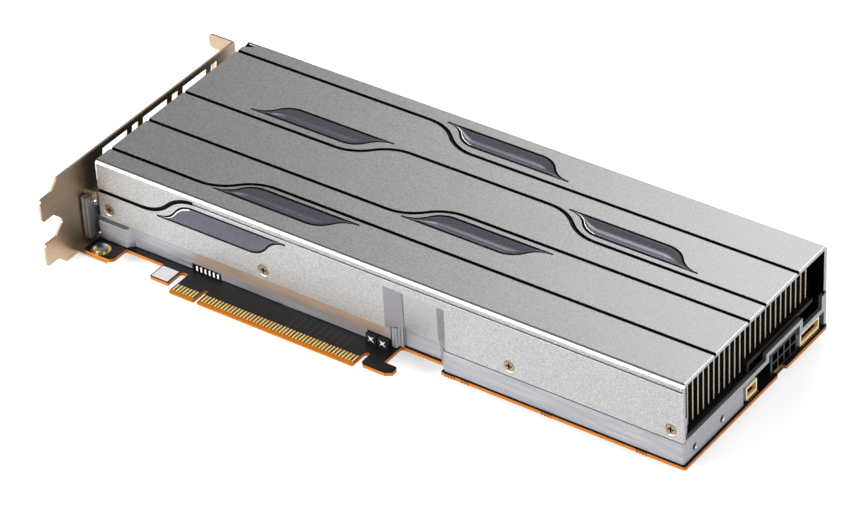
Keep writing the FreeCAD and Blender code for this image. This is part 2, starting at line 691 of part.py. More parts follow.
def make_cover():
    """Channel-shaped sheet cover with chamfered edges, engraved lines, pockets and a latch recess."""
    body = start_body("cover_body")
    pad(body, "channel", "YZ", "0", [cover_section()], "cover_length")
    outer, mouth = recess_outlines()
    pad(body, "recess_shell", "XY", "front_seam", [outer], "recess_top + cover_wall - front_seam")
    pocket(body, "recess", "XY", "recess_top", [mouth], "recess_top - front_seam + 1")
    pocket(body, "engraved_lines", "XY", "cover_top", engraved_lines(), "groove_depth")
    pocket(body, "inlay_pockets", "XY", "cover_top", [leaf(*spot) for spot in LEAVES], "leaf_sink")
    pocket(body, "corner_pocket", "XY", "cover_top", [corner_outline()], "leaf_sink")
    low, high = size("side_line_low"), size("side_line_high")
    turn = size("side_step_start")
    stops = [(-OVERRUN, low), (turn, low), (turn + size("side_step_run"), high), (LENGTH + OVERRUN, high)]
    pocket(body, "side_line", "XZ", "0", [band(stops, size("groove_width"))], "groove_depth")
    pocket(body, "side_inlay_pocket", "XZ", "0", [leaf(*SIDE_LEAF)], "leaf_sink")
    tools = sunk_holes("front", FRONT_SCREWS, front_face, "y")
    tools += sunk_holes("back", BACK_SCREWS, back_face, "-y")
    node(cut("cover", body, tools), "top_cover")


def make_inlays():
    """Dark plates seated in the cover's leaf-shaped pockets."""
    play = size("leaf_play")
    plates = [slab(f"inlay_{index}", "XY", "cover_top - leaf_sink", [leaf(*spot, grow=play)], "leaf_thick")
              for index, spot in enumerate(LEAVES)]
    node(group("inlays", plates), "top_inlays")
    front = slab("inlay_front", "XZ", "-leaf_sink", [leaf(*SIDE_LEAF, grow=play)], "leaf_thick")
    node(group("front_inlay", [front]), "side_inlay")


def finger_outline(tip, notch):
    """Board outline along the finger tab and the retention hook."""
    key, half = size("key_centre"), size("key_width") / 2
    start, end = key - size("tab_before_key"), key + size("tab_after_key")
    small, corner = size("tab_corner"), size("finger_corner")
    shore = -size("shore_line") - size("tab_corner") / 2
    shank, closed = end + size("hook_gap"), -size("hook_gap_end")
    low, high = -size("hook_low"), -size("hook_high")
    point = size("latch_start") + size("hook_reach")
    chamfer, nose = size("hook_corner"), size("hook_nose")
    gap_round = size("hook_gap") * 0.45
    return [
        (start, shore, 1.0), (start, tip, corner),
        (key - half, tip, small), (key - half, notch, half - 0.01),
        (key + half, notch, half - 0.01), (key + half, tip, small), (end, tip, corner),
        (end, closed, gap_round), (shank, closed, gap_round),
        (shank, low + chamfer), (shank + chamfer, low),
        (point - nose, low), (point, low + nose * 2 / 3),
        (point, high - nose / 3), (point - nose / 3, high),
        (size("latch_start"), high, small)]


def board_outline():
    """Whole outline of the board."""
    tip = -size("finger_depth")
    corner, small = size("board_corner"), size("tab_corner")
    left, right = -size("board_before"), LENGTH + size("board_proud")
    back = WIDTH + size("board_over")
    shore, drop, lip = -size("shore_line"), -size("tab_drop"), -size("board_lip")
    screw_end = size("screw_tab_end")
    label_start, label_end = size("label_tab_start"), size("label_tab_end")
    latch_start, latch_end, latch = size("latch_start"), size("latch_end"), size("latch_depth")
    notch = back - size("rear_notch_back")
    notch_end = notch + size("rear_notch_wide")
    deep, turn = right - size("rear_notch_deep"), size("rear_notch_corner")
    front = [(left, back, corner), (left, drop, corner), (screw_end, drop, size("screw_tab_corner")),
             (screw_end, shore, 2 * small), (label_start, shore, small), (label_start, drop, small),
             (label_end, drop, small), (label_end, shore - small / 2, corner)]
    rear = [(latch_start, latch, corner), (latch_end, latch, 2 * small), (latch_end, lip, small / 2),
            (right, lip, corner), (right, notch, small), (deep, notch, turn), (deep, notch_end, turn),
            (right, notch_end, small), (right, back, corner)]
    return rounded(front + finger_outline(tip, tip + size("key_depth")) + rear)


def finger_bevels():
    """Wedges that bevel both faces of the finger edge."""
    tip, thick = -size("finger_depth"), size("board_thick")
    run, fall = size("bevel_run"), size("bevel_fall")
    slope = fall / run
    start = size("key_centre") - size("tab_before_key")
    end = size("key_centre") + size("tab_after_key")
    outer, inner = tip - OVERRUN, tip + run
    drop = fall + slope * OVERRUN
    upper = rounded([(outer, -drop), (inner, 0.0), (inner, OVERRUN), (outer, OVERRUN)])
    under = -thick - OVERRUN
    lower = rounded([(outer, drop - thick), (outer, under), (inner, under), (inner, -thick)])
    return [slab(f"bevel_{side}", "YZ", str(start - 0.5), [outline], str(end - start + 1.0))
            for side, outline in (("upper", upper), ("lower", lower))]


def make_board():
    """Board with bracket tab, label tab, finger tab, retention hook, latch set-back and break-off teeth."""
    body = slab("board_sheet", "XY", "-board_thick", [board_outline()], "board_thick")
    teeth = [rod(f"tooth_{row}_{index}", (f"{x} + {index} * tooth_pitch", "-board_lip", "-board_thick"),
                 "tooth_dia", "board_thick")
             for row, (x, count) in enumerate(TOOTH_GROUPS) for index in range(count)]
    tools = [rod("tab_hole", ("screw_tab_x", "screw_tab_y", "-board_thick - 1"),
                 "pan_shank + 2 * hole_play", "board_thick + 2")]
    for index, (x, y) in enumerate(BOSSES):
        tools.append(rod(f"board_hole_{index}", (x, y, "-board_thick - 1"),
                         PASS_HOLE, "board_thick + 2"))
    for index, (x, y) in enumerate(clamp_spots()):
        tools.append(rod(f"clamp_hole_{index}", (x, y, "-board_thick - 1"),
                         "screw_dia + 12 * hole_play", "board_thick + 2"))
    node(cut("board", fuse("board_form", [body, *teeth]), tools + finger_bevels()), "circuit_board")


def clamp_spots():
    """Clamp screw centres round the processor, as expressions."""
    return [(f"die_centre_x + {dx} * clamp_x", f"{DIE_Y} + {dy} * clamp_y")
            for dx in (-1, 1) for dy in (-1, 1)]


def make_contacts():
    """Plated contacts on both faces of the finger tab."""
    pads = []
    banks = (("first_pin", 11), ("second_bank", 71))
    for bank, count in banks:
        for index in range(count):
            for side, level in (("top", "0"), ("low", "-board_thick - pin_thick")):
                pads.append(box(f"{bank}_{side}_{index}",
                                (f"key_centre + {bank} + {index} * pin_pitch - pin_width / 2",
                                 "-finger_depth + bevel_run", level),
                                ("pin_width", "pin_run", "pin_thick")))
    node(group("contacts", pads), "edge_contacts")


def make_screw_pad():
    """Plated ring round the bracket screw."""
    disc = rod("pad_disc", ("screw_tab_x", "screw_tab_y", "0"), "pan_dia + 2", "pin_thick")
    hole = rod("pad_hole", ("screw_tab_x", "screw_tab_y", "-1"), "pan_shank + 2 * hole_play", "2")
    node(cut("plated_ring", disc, [hole]), "screw_pad")


def cross_recess(name, at, axis, dia, depth, width="cross_width"):
    """Two crossed slots that form a screw's recess, as one tool."""
    x, y, z = at
    reach = f"({dia}) * 0.62"
    if axis == "y":
        slots = [box(name + "_a", (f"{x} - {reach} / 2", y, f"{z} - {width} / 2"), (reach, depth, width)),
                 box(name + "_b", (f"{x} - {width} / 2", y, f"{z} - {reach} / 2"), (width, depth, reach))]
    else:
        slots = [box(name + "_a", (f"{x} - {reach} / 2", f"{y} - {width} / 2", z), (reach, width, depth)),
                 box(name + "_b", (f"{x} - {width} / 2", f"{y} - {reach} / 2", z), (width, reach, depth))]
    return fuse(name, slots)


def cover_screw(name, at, axis):
    """Countersunk screw whose head face lies just inside the given point of a long wall."""
    x, y, z = at
    way = 1 if axis == "y" else -1
    face = (x, f"{y} + {way * 0.05}", z)
    head = cone(name + "_head", face, "head_dia", "screw_dia", "head_rise", axis)
    shank = rod(name + "_shank", face, "screw_dia", "cover_wall + lip_play + ear_thick - 0.05", axis)
    start = f"{y} - 0.2" if way > 0 else f"{y} - 0.6"
    cross = cross_recess(name + "_cross", (x, start, z), "y", "head_dia", "0.8")
    return cut(name, fuse(name + "_form", [head, shank]), [cross])


def make_cover_screws():
    """Countersunk screws through the cover's walls into the frame's ears."""
    screws = [cover_screw(f"front_screw_{index}", front_face(x), "y")
              for index, x in enumerate(FRONT_SCREWS)]
    screws += [cover_screw(f"back_screw_{index}", back_face(x), "-y")
               for index, x in enumerate(BACK_SCREWS)]
    node(group("cover_screw_set", screws), "cover_screws")


def wall_outlines():
    """Outer and inner outlines of the frame's walls, seen from above."""
    wall = size("frame_wall")
    mid, deep = size("frame_set_back"), size("frame_latch")
    block, turn, back_turn = size("block_end"), size("turn_start"), size("turn_end")
    turned, out = turn + size("turn_run"), back_turn + size("turn_out")
    small, turn_round = 0.3, size("frame_round")
    lean = wall * 0.4
    proud = -size("block_proud")
    outer = rounded([
        (0.0, proud, small), (block, proud, small), (block + mid - proud, mid, small), (turn, mid, small),
        (turned, deep, turn_round), (back_turn, deep, turn_round), (out, 0.0, small),
        (LENGTH, 0.0, turn_round), (LENGTH, WIDTH, turn_round), (0.0, WIDTH, small)])
    inner = rounded([
        (wall, wall), (block - lean, wall), (block + mid - lean, mid + wall), (turn - lean, mid + wall),
        (turned - lean, deep + wall), (back_turn + lean, deep + wall), (out + lean, wall),
        (LENGTH - wall, wall), (LENGTH - wall, WIDTH - wall), (wall, WIDTH - wall)])
    return outer, inner


def frame_lips():
    """Lips that stand behind the cover's lower edges, each rooted in the wall beside it."""
    lip_in = WALL + size("lip_play")
    front_high = "front_seam + lip_height - frame_gap"
    left_end = size("turn_start") - size("plate_play")
    right_start = size("turn_end") + size("turn_out") + size("plate_play")
    right_end = LENGTH - size("lip_stop")
    pieces = []
    sides = (("left", lip_in, left_end, lip_in + 1.0), ("right", right_start, right_end, lip_in))
    for name, start, end, y in sides:
        run = end - start
        pieces.append(box(f"front_lip_{name}", (start, y, "frame_gap"), (run, "lip_thick", front_high)))
        pieces.append(box(f"front_root_{name}", (start, y - 0.3, "frame_gap"), (run, 0.4, WALL_RISE)))
    run = right_end - lip_in
    pieces.append(box("back_wall", ("0", "cover_width - frame_wall", "frame_gap"),
                      ("cover_length", "frame_wall", "back_seam - seam_gap - frame_gap")))
    pieces.append(box("back_lip", (lip_in, f"cover_width - {lip_in} - lip_thick", "frame_gap"),
                      (run, "lip_thick", "back_seam + lip_height - frame_gap")))
    pieces.append(box("back_root", (lip_in, f"cover_width - {lip_in} - 0.1", "frame_gap"),
                      (run, 0.4, "back_seam - seam_gap - frame_gap")))
    return pieces


def frame_ears():
    """Ears behind the cover's walls and the thread tools for their screws."""
    pieces = []
    tools = []
    edge = 0.4
    for index, x in enumerate(FRONT_SCREWS):
        begin = max(x - size("ear_width") / 2, edge)
        stop = min(x + size("ear_width") / 2, LENGTH - edge)
        pieces.append(box(f"front_ear_{index}", (begin, LIP_INNER, "frame_gap + ear_over"),
                          (stop - begin, "ear_thick", "front_screw_z - frame_gap")))
        tools.append(rod(f"front_tap_{index}", (x, "0", "front_screw_z"), "screw_dia", "12", "y"))
    for index, x in enumerate(BACK_SCREWS):
        begin = max(x - size("ear_width") / 2, edge)
        pieces.append(box(f"back_ear_{index}",
                          (begin, f"cover_width - {LIP_INNER} - ear_thick", "sink_low + 0.5"),
                          (x + size("ear_width") / 2 - begin, "ear_thick",
                           "back_screw_z + ear_over - sink_low - 0.5")))
        tools.append(rod(f"back_tap_{index}", (x, "cover_width", "back_screw_z"), "screw_dia", "12", "-y"))
    return pieces, tools


def frame_bosses():
    """Bosses over the board's screw holes, each joined to the wall beside it, and their thread tools."""
    half = size("boss_size") / 2
    lip_in = WALL + size("lip_play")
    pieces = []
    tools = []
    for index, (x, y) in enumerate(BOSSES):
        first, last = y - half, WIDTH - lip_in
        if y < WIDTH / 2:
            last = y + half
            first = size("frame_wall") if x > size("turn_end") else size("frame_set_back") + 0.2
            first = 0.4 if x < size("block_end") else first
        pieces.append(box(f"boss_{index}", (x - half, first, "0"), ("boss_size", last - first, "sink_low")))
        tools.append(rod(f"boss_tap_{index}", (x, y, "-1"), "screw_dia", "7"))
    return pieces, tools


def rear_mounts():
    """Bosses for the rear support screws, and the tools for their threads and mouths."""
    pieces = []
    tools = []
    for index, name in enumerate(("rear_hole_first", "rear_hole_second")):
        pieces.append(box(f"rear_boss_{index}",
                          ("cover_length - rear_hole_deep - 1.5", f"{name} - 3.5", "frame_gap"),
                          ("rear_hole_deep + 1", "7", "sink_low - 0.6 - frame_gap")))
        tools.append(rod(f"rear_tap_{index}", ("cover_length + 1", name, "rear_hole_z"),
                         "rear_hole_dia", "rear_hole_deep + 1", "-x"))
        tools.append(cone(f"rear_mouth_{index}", ("cover_length", name, "rear_hole_z"),
                          "rear_hole_sink", "rear_hole_dia", "(rear_hole_sink - rear_hole_dia) / 2", "-x"))
    return pieces, tools


def frame_post():
    """Post that carries the bracket's strap, with its screw lug and its root in the frame."""
    deep = "post_front + post_back"
    return [
        box("post", ("-post_start", "-post_front", "frame_gap"),
            ("post_start - post_end", deep, "post_top - frame_gap")),
        box("post_lug", ("-post_end - 0.2", "0", "lug_low"),
            ("post_end - 0.2", "post_back", "post_top - lug_low")),
        box("post_root", ("-post_end - 0.2", "frame_wall", "frame_gap"),
            ("post_end + 1.2", "post_back - frame_wall", "front_seam - 1 - frame_gap"))]


def turn_ribs():
    """Two half-round ribs down the slanted wall at the front wall's turn."""
    mid, deep = size("frame_set_back"), size("frame_latch")
    ribs = []
    for index, share in enumerate((0.32, 0.80)):
        x = size("turn_start") + share * size("turn_run")
        y = mid + share * (deep - mid)
        ribs.append(rod(f"turn_rib_{index}", (x, y, "frame_gap"), "rib_dia", WALL_RISE))
    return ribs


def rear_strip():
    """Thin strip across the rear end, with an arch over the power header."""
    wall, bar = size("frame_wall"), size("bar_thick")
    near, far = WIDTH - size("arch_back"), WIDTH - size("arch_end")
    open_from = WIDTH - size("strip_back")
    arch, strip, shelf, low = size("arch_top"), size("strip_top"), size("shelf_bar"), size("frame_gap")
    inner = WIDTH - wall
    post_high, post_side = size("end_post_high"), inner - size("end_post_wide")
    turn = 0.4
    profile = rounded([
        (wall, low), (open_from, low), (open_from, strip - bar), (near + bar, strip - bar),
        (near + bar, arch - bar), (far - bar, arch - bar), (far - bar, shelf - bar), (inner, shelf - bar),
        (inner, post_high), (post_side, post_high), (post_side, shelf), (far, shelf), (far, arch, turn),
        (near, arch, turn), (near, strip, turn), (wall, strip)])
    return slab("rear_strip", "YZ", "cover_length - frame_wall", [profile], "frame_wall")


def frame_openings():
    """Tools for the openings and lines in the frame's front."""
    through = ("row_run", "frame_latch + 1", "row_top + 1")
    return [
        box("row_opening", ("row_start", "-0.1", "-1"), through),
        box("pair_opening", ("pair_start", "-0.1", "-1"), ("pair_run", "frame_latch + 1", "pair_top + 1")),
        box("block_line", ("-0.1", "-block_proud - 0.1", "front_seam - seam_gap - block_seam"),
            ("block_end + block_proud", "frame_wall + block_proud", "block_seam + 1")),
        box("turn_slot", ("turn_start - slot_width", "frame_set_back - 1", "-1"),
            ("slot_width", "2.2", "front_seam + 1")),
        box("post_cut", ("-(post_start + post_end) / 2", "-post_front - 1", "-1"),
            ("post_line", "1.4", "post_top + 2")),
        rod("post_tap", ("side_screw_x", "-1", "side_screw_z"), "side_shank", "5", "y")]


def make_frame():
    """Low frame round the board: stepped front wall, rear strip with an arch, lips, ears and bosses."""
    walls = slab("frame_walls", "XY", "frame_gap", wall_outlines(), WALL_RISE)
    ears, ear_taps = frame_ears()
    bosses, boss_taps = frame_bosses()
    mounts, mount_taps = rear_mounts()
    solid = fuse("frame_solid",
                 [walls, *frame_lips(), *ears, *bosses, *mounts, *frame_post(), *turn_ribs()])
    clear = box("rear_clear", ("cover_length - frame_wall", "frame_wall", "-1"),
                ("frame_wall + 1", "cover_width - 2 * frame_wall", "cover_top"))
    whole = fuse("frame_whole", [cut("frame_trimmed", solid, [clear]), rear_strip()])
    node(cut("frame", whole, [*ear_taps, *boss_taps, *mount_taps, *frame_openings()]), "base_frame")


def bracket_outline():
    """Outline of the bracket's plate with its two tongues."""
    low = size("bracket_low")
    high = low + size("bracket_wide")
    end = WIDTH - size("flange_inset")
    tip = end - size("bracket_long")
    half, waist = size("tongue_wide") / 2, size("waist")
    first = size("tongue_low")
    second = first + size("slot_pitch")
    shoulder = -size("shoulder")
    neck = shoulder - size("shoulder_slope")
    middle = (first + second) / 2
    inset = low + 2 * size("flange_lead_rise")
    cut_first, cut_last = -size("bracket_cut_first"), size("bracket_cut_last")
    return rounded([
        (cut_first, low, 0.4), (cut_first, inset), (cut_last, inset), (cut_last, low),
        (end, low, 1.0), (end, high, 1.0),
        (shoulder, high, 0.8), (neck, second + half, 0.6), (tip, second + half, 1.6),
        (tip, second - half, 1.6), (neck, second - half, 0.6), (shoulder, middle + waist, 0.6),
        (shoulder, middle - waist, 0.6), (neck, first + half, 0.6), (tip, first + half, 1.6),
        (tip, first - half, 1.6), (neck, first - half, 0.5), (shoulder, low, 0.6)])


def vent_outlines():
    """Rows of long and short vents with slanted ends."""
    end = WIDTH - size("flange_inset") - size("vent_margin")
    tall, lean = size("vent_height"), size("vent_lean")
    vents = []
    for line in range(round(size("vent_rows"))):
        top = size("vent_top") - line * size("vent_row")
        runs = [size("vent_long"), size("vent_short")]
        if line % 2:
            runs.reverse()
        y = size("vent_first")
        while y + runs[0] < end:
            vents.append(rounded([(y, top - tall), (y + runs[0] - lean, top - tall),
                                  (y + runs[0], top), (y + lean, top)]))
            y += runs[0] + size("vent_web")
            runs.reverse()
    return vents


def flange_outline():
    """Outline of the screw flange, with one open notch for each slot."""
    low = size("bracket_low")
    high = low + size("bracket_wide")
    outer = -size("bracket_gap") - size("bracket_sheet")
    reach = outer - size("flange_reach")
    notch, deep = size("flange_notch"), size("flange_notch_deep")
    lead, rise = size("flange_lead"), size("flange_lead_rise")
    hidden = outer + size("bracket_sheet") / 2
    corners = [(hidden, low + 0.6), (reach + 2.2, low + 0.6, 0.8), (reach, low + 1.8, 0.8)]
    for tongue in (0, 1):
        z = size("tongue_low") + tongue * size("slot_pitch") + size("flange_rise")
        corners += [(reach, z - notch - rise), (reach + lead, z - notch), (reach + deep, z - notch, 1.6),
                    (reach + deep, z + notch, 1.6), (reach + lead, z + notch), (reach, z + notch + rise)]
    return rounded(corners + [(reach, high - 0.9, 0.8), (reach + 0.9, high, 0.6), (hidden, high)])


def strap_outline():
    """Outline of the strap that runs over the post and down to its screw."""
    hidden = -size("bracket_gap") - size("bracket_sheet") / 4
    low = size("post_top") + size("hole_play")
    high = size("post_top") + size("strap_rise")
    end = -size("strap_end")
    ear = -size("post_end") + size("hole_play")
    return rounded([(hidden, low), (ear, low), (ear, size("lug_low"), 0.4), (end, size("lug_low"), 0.4),
                    (end, high, 0.5), (hidden, high)])


def make_bracket():
    """Two-slot bracket: tongues, vents, screw flange, a foot under the board and a strap to the post."""
    body = start_body("bracket_body")
    pad(body, "bracket_plate", "YZ", "-bracket_gap - bracket_sheet", [bracket_outline()], "bracket_sheet")
    pocket(body, "vents", "YZ", "-bracket_gap", vent_outlines(), "bracket_sheet + 1")
    flange = slab("flange", "XZ", "-(cover_width - flange_inset)", [flange_outline()], "bracket_sheet")
    strap = slab("strap", "XZ", "0", [strap_outline()], "bracket_sheet")
    foot = box("foot", ("-bracket_gap - bracket_sheet", "-tab_drop - 0.4", "-board_thick - bracket_sheet"),
               ("foot_run", "foot_wide", "bracket_sheet"))
    foot_hole = rod("foot_hole", ("screw_tab_x", "screw_tab_y", "-6"), "pan_shank", "6")
    strap_hole = rod("strap_hole", ("side_screw_x", "-3", "side_screw_z"),
                     "side_shank + 2 * hole_play", "6", "y")
    whole = fuse("bracket_whole", [body, flange, foot, strap])
    node(cut("bracket", whole, [foot_hole, strap_hole]), "io_bracket")


def make_bracket_screws():
    """Pan-head screw through the board into the bracket's foot, and the strap's small screw."""
    seat = "pin_thick"
    disc_top = "pin_thick + pan_rise * 0.55"
    head = rod("pan_disc", ("screw_tab_x", "screw_tab_y", seat), "pan_dia", "pan_rise * 0.55")
    dome = cone("pan_dome", ("screw_tab_x", "screw_tab_y", disc_top),
                "pan_dia", "pan_dia * 0.62", "pan_rise * 0.45")
    shank = rod("pan_shank_rod", ("screw_tab_x", "screw_tab_y", "pin_thick + 0.2"), "pan_shank",
                "board_thick + bracket_sheet + 0.4 + pin_thick", "-z")
    cross = cross_recess("pan_cross", ("screw_tab_x", "screw_tab_y", "pin_thick + pan_rise - 1"),
                         "z", "pan_dia", "2")
    node(cut("pan_screw", fuse("pan_form", [head, dome, shank]), [cross]), "bracket_board_screw")
    button = cone("side_button", ("side_screw_x", "-bracket_sheet - 0.8", "side_screw_z"),
                  "side_head * 0.7", "side_head", "0.8", "y")
    stem = rod("side_stem", ("side_screw_x", "-bracket_sheet - 0.2", "side_screw_z"),
               "side_shank", "4.6", "y")
    slot = cross_recess("side_recess", ("side_screw_x", "-bracket_sheet - 1.1", "side_screw_z"),
                        "y", "side_head", "0.7", "side_cross")
    node(cut("side_screw", fuse("side_form", [button, stem]), [slot]), "bracket_side_screw")


def sink_outline():
    """Outline of the heat sink's base, cut back where its shelf takes over."""
    side, start = size("sink_side"), size("sink_start")
    end, back = LENGTH - size("sink_end"), WIDTH - size("sink_side")
    shelf_x, shelf_y = LENGTH - size("shelf_run"), WIDTH - size("shelf_back")
    return rounded([(start, side, 1.0), (end, side, 0.5), (end, shelf_y), (shelf_x, shelf_y),
                    (shelf_x, back), (start, back, 1.0)])


def make_heatsink_base():
    """Base plate with a pedestal on the processor, clamp studs and a raised shelf over the connectors."""
    plate = slab("sink_plate", "XY", "sink_low", [sink_outline()], "sink_high - sink_low")
    x, y = "(cover_length - shelf_run - shelf_wall)", "(cover_width - shelf_back - shelf_wall)"
    run, deep = f"cover_length - sink_end - {x}", f"cover_width - sink_side - {y}"
    rise = "shelf_high - sink_low"
    shelf = box("shelf", (x, y, "shelf_low"), (run, deep, "shelf_high - shelf_low"))
    walls = [box("shelf_side_wall", (x, y, "sink_low"), (run, "shelf_wall", rise)),
             box("shelf_end_wall", (x, y, "sink_low"), ("shelf_wall", deep, rise))]
    seat = "package_thick + die_thick + paste_thick"
    block = centred("pedestal", "die_centre_x", DIE_Y, seat,
                    ("pedestal_x", "pedestal_y", f"sink_low + 0.5 - ({seat})"))
    studs = []
    holes = []
    for index, (px, py) in enumerate(clamp_spots()):
        studs.append(rod(f"stud_{index}", (px, py, "frame_gap"), "stud_dia", "sink_low"))
        holes.append(rod(f"stud_tap_{index}", (px, py, "-1"), "screw_dia", "clamp_run"))
    whole = fuse("sink_whole", [plate, shelf, *walls, block, *studs])
    node(cut("sink_base", whole, holes), "heatsink_base")


def make_fins():
    """Fins soldered to the base, shorter where they stand on the shelf."""
    count = int((WIDTH - size("fin_first") - size("fin_last")) / size("fin_pitch")) + 1
    on_shelf = WIDTH - size("shelf_back") - size("shelf_wall")
    fins = []
    for index in range(count):
        side = f"fin_first + {index} * fin_pitch - fin_thick / 2"
        fin = box(f"fin_{index}", ("fin_start", side, "sink_high"),
                  ("cover_length - fin_set_back - fin_start", "fin_thick",
                   "cover_top - cover_wall - fin_gap - sink_high"))
        if size("fin_first") + index * size("fin_pitch") + size("fin_thick") / 2 > on_shelf:
            notch = box(f"fin_notch_{index}",
                        ("cover_length - shelf_run - shelf_wall", f"{side} - 1", "sink_high - 1"),
                        ("shelf_run + shelf_wall", "fin_thick + 2", "shelf_high - sink_high + 1"))
            fin = cut(f"fin_cut_{index}", fin, [notch])
        fins.append(fin)
    node(group("fin_stack", fins), "heatsink_fins")


def make_processor():
    """Processor package: substrate, stiffener ring, die, memory stacks and paste."""
    x, y = "die_centre_x", DIE_Y
    substrate = centred("substrate", x, y, "0", ("package_side", "package_side", "package_thick"))
    node(group("package", [substrate]), "processor_substrate")
    outer = centred("ring_outer", x, y, "package_thick", ("package_side", "package_side", "ring_thick"))
    inner = centred("ring_inner", x, y, "package_thick - 1",
                    ("package_side - 2 * ring_wide", "package_side - 2 * ring_wide", "3"))
    node(cut("stiffener", outer, [inner]), "stiffener_ring")
    die = centred("die", x, y, "package_thick", ("die_x", "die_y", "die_thick"))
    node(group("die_set", [die]), "processor_die")
    stacks = [centred(f"stack_{side}_{index}", f"{x} + {side} * stack_off", f"{y} + {index} * stack_pitch",
                      "package_thick", ("stack_x", "stack_y", "die_thick"))
              for side in (-1, 1) for index in (-1, 0, 1)]
    node(group("memory", stacks), "memory_stacks")
    paste = centred("paste_layer", x, y, "package_thick + die_thick", ("die_x", "die_y", "paste_thick"))
    node(group("paste", [paste]), "thermal_paste")


def make_power():
    """Inductors, power stages and capacitors in two columns, and the pads up to the heat sink."""
    inductors, stages, strips, cans = [], [], [], []
    rows = int((WIDTH - 2 * size("power_margin")) / size("row_pitch"))
    for side in (-1, 1):
        x = f"die_centre_x + {side} * column_gap"
        for index in range(rows):
            y = f"{DIE_Y} + {index - (rows - 1) / 2} * row_pitch"
            inductors.append(centred(f"inductor_{side}_{index}", x, y, "0",
                                     ("inductor_side", "inductor_side", "inductor_high")))
            stages.append(centred(f"stage_{side}_{index}", f"{x} + stage_gap + stage_x / 2", y, "0",
                                  ("stage_x", "stage_y", "stage_high")))
        strips.append(centred(f"strip_{side}", x, DIE_Y, "inductor_high",
                              ("inductor_side", f"{rows - 1} * row_pitch + inductor_side",
                               "sink_low - inductor_high")))
        for index in range(rows - 1):
            y = f"{DIE_Y} + {index - (rows - 2) / 2} * row_pitch"
            cans.append(rod(f"can_{side}_{index}", (f"{x} - can_gap", y, "0"), "can_dia", "can_high"))
    node(group("inductor_set", inductors), "inductors")
    node(group("stage_set", stages), "power_stages")
    node(group("strip_set", strips), "thermal_pads")
    node(group("can_set", cans), "bulk_capacitors")


def make_power_header():
    """Eight-cell power header with its lock ramp and blades."""
    face, side = "cover_length - header_face", "cover_width - power_back"
    shell = box("power_shell", (f"{face} - power_deep", side, "0"),
                ("power_deep", "power_wide", "power_high"))
    lock = box("power_lock", (f"{face} - lock_run", f"{side} + (power_wide - lock_wide) / 2", "power_high"),
               ("lock_run", "lock_wide", "lock_rise"))
    cells = []
    blades = []
    for column in range(4):
        for line in range(2):
            y = f"{side} + cell_first + {column} * cell_pitch"
            z = f"cell_low + {line} * cell_pitch"
            cells.append(box(f"cell_{column}_{line}",
                             (f"{face} - cell_deep", f"{y} - cell_side / 2", f"{z} - cell_side / 2"),
                             ("cell_deep + 1", "cell_side", "cell_side")))
            blades.append(box(f"blade_{column}_{line}",
                              (f"{face} - cell_deep", f"{y} - blade_side / 2", f"{z} - blade_side / 2"),
                              ("blade_run", "blade_side", "blade_side")))
    node(cut("power_housing", fuse("power_form", [shell, lock]), cells), "power_header")
    node(group("blade_set", blades), "power_header_pins")


def make_small_header(label, side, count):
    """Small side-entry header with a row of pins; side is its first wall along Y."""
    back = "cover_length - header_face - small_deep"
    width = f"{count} * small_pitch + small_ends"
    shell = box(label + "_shell", (back, side, "0"), ("small_deep", width, "small_high"))
    room = box(label + "_room",
               (f"{back} + small_deep - small_back", f"{side} + small_wall", "small_floor"),
               ("small_back + 1", f"{width} - 2 * small_wall", "small_room"))
    node(cut(label + "_housing", shell, [room]), label)
    pins = [box(f"{label}_pin_{index}",
                (f"{back} + small_deep - small_back", f"{side} + small_pitch * {index + 1}",
                 "small_floor + small_room / 2 - pin_side / 2"),
                ("small_back - 1.6", "pin_side", "pin_side"))
            for index in range(count)]
    node(group(label + "_pin_set", pins), label + "_pins")


def make_small_parts():
    """Chips beside the fingers, control chips and the plain label."""
    row_chips = [box(f"row_chip_{index}", (f"row_chip_first + {index} * row_chip_pitch", "row_chip_y", "0"),
                     ("row_chip_wide", "row_chip_deep", "row_chip_high")) for index in range(6)]
    node(group("chip_row", row_chips), "edge_chip_row")
    pair = [box(f"pair_chip_{index}", (f"pair_chip_first + {index} * pair_chip_pitch", "pair_chip_y", "0"),
                ("pair_chip_side", "pair_chip_deep", "pair_chip_high")) for index in range(2)]
    node(group("chip_pair", pair), "edge_chip_pair")
    control = [box(f"control_{index}", (f"die_centre_x + ({along})", f"cover_width * {across}", "0"),
                   ("chip_side", "chip_side", "chip_high"))
               for index, (along, across) in enumerate(CONTROL_CHIPS)]
    node(group("control_set", control), "control_chips")
    label = box("label", ("label_tab_start + label_edge", "-tab_drop + label_edge", "0"),
                ("label_tab_end - label_tab_start - 2 * label_edge", "label_run", "label_thick"))
    node(group("label_set", [label]), "board_label")


def plate_outline():
    """Outline of the backplate, stepped back along the fingers and the hook."""
    inset, front, latch = size("plate_inset"), size("plate_front"), size("plate_latch")
    start, end, back = 1.0, LENGTH - size("plate_end"), WIDTH - size("plate_inset")
    turn = size("turn_start") - size("plate_play")
    out = size("turn_end") + size("turn_out") + size("plate_play")
    slant = size("plate_slant")
    return rounded([(start, front, 2.0), (turn, front, 1.0), (turn + slant, latch, 1.0),
                    (out - slant, latch, 1.0), (out, inset, 1.0), (end, inset, 2.0),
                    (end, back, 2.0), (start, back, 2.0)])


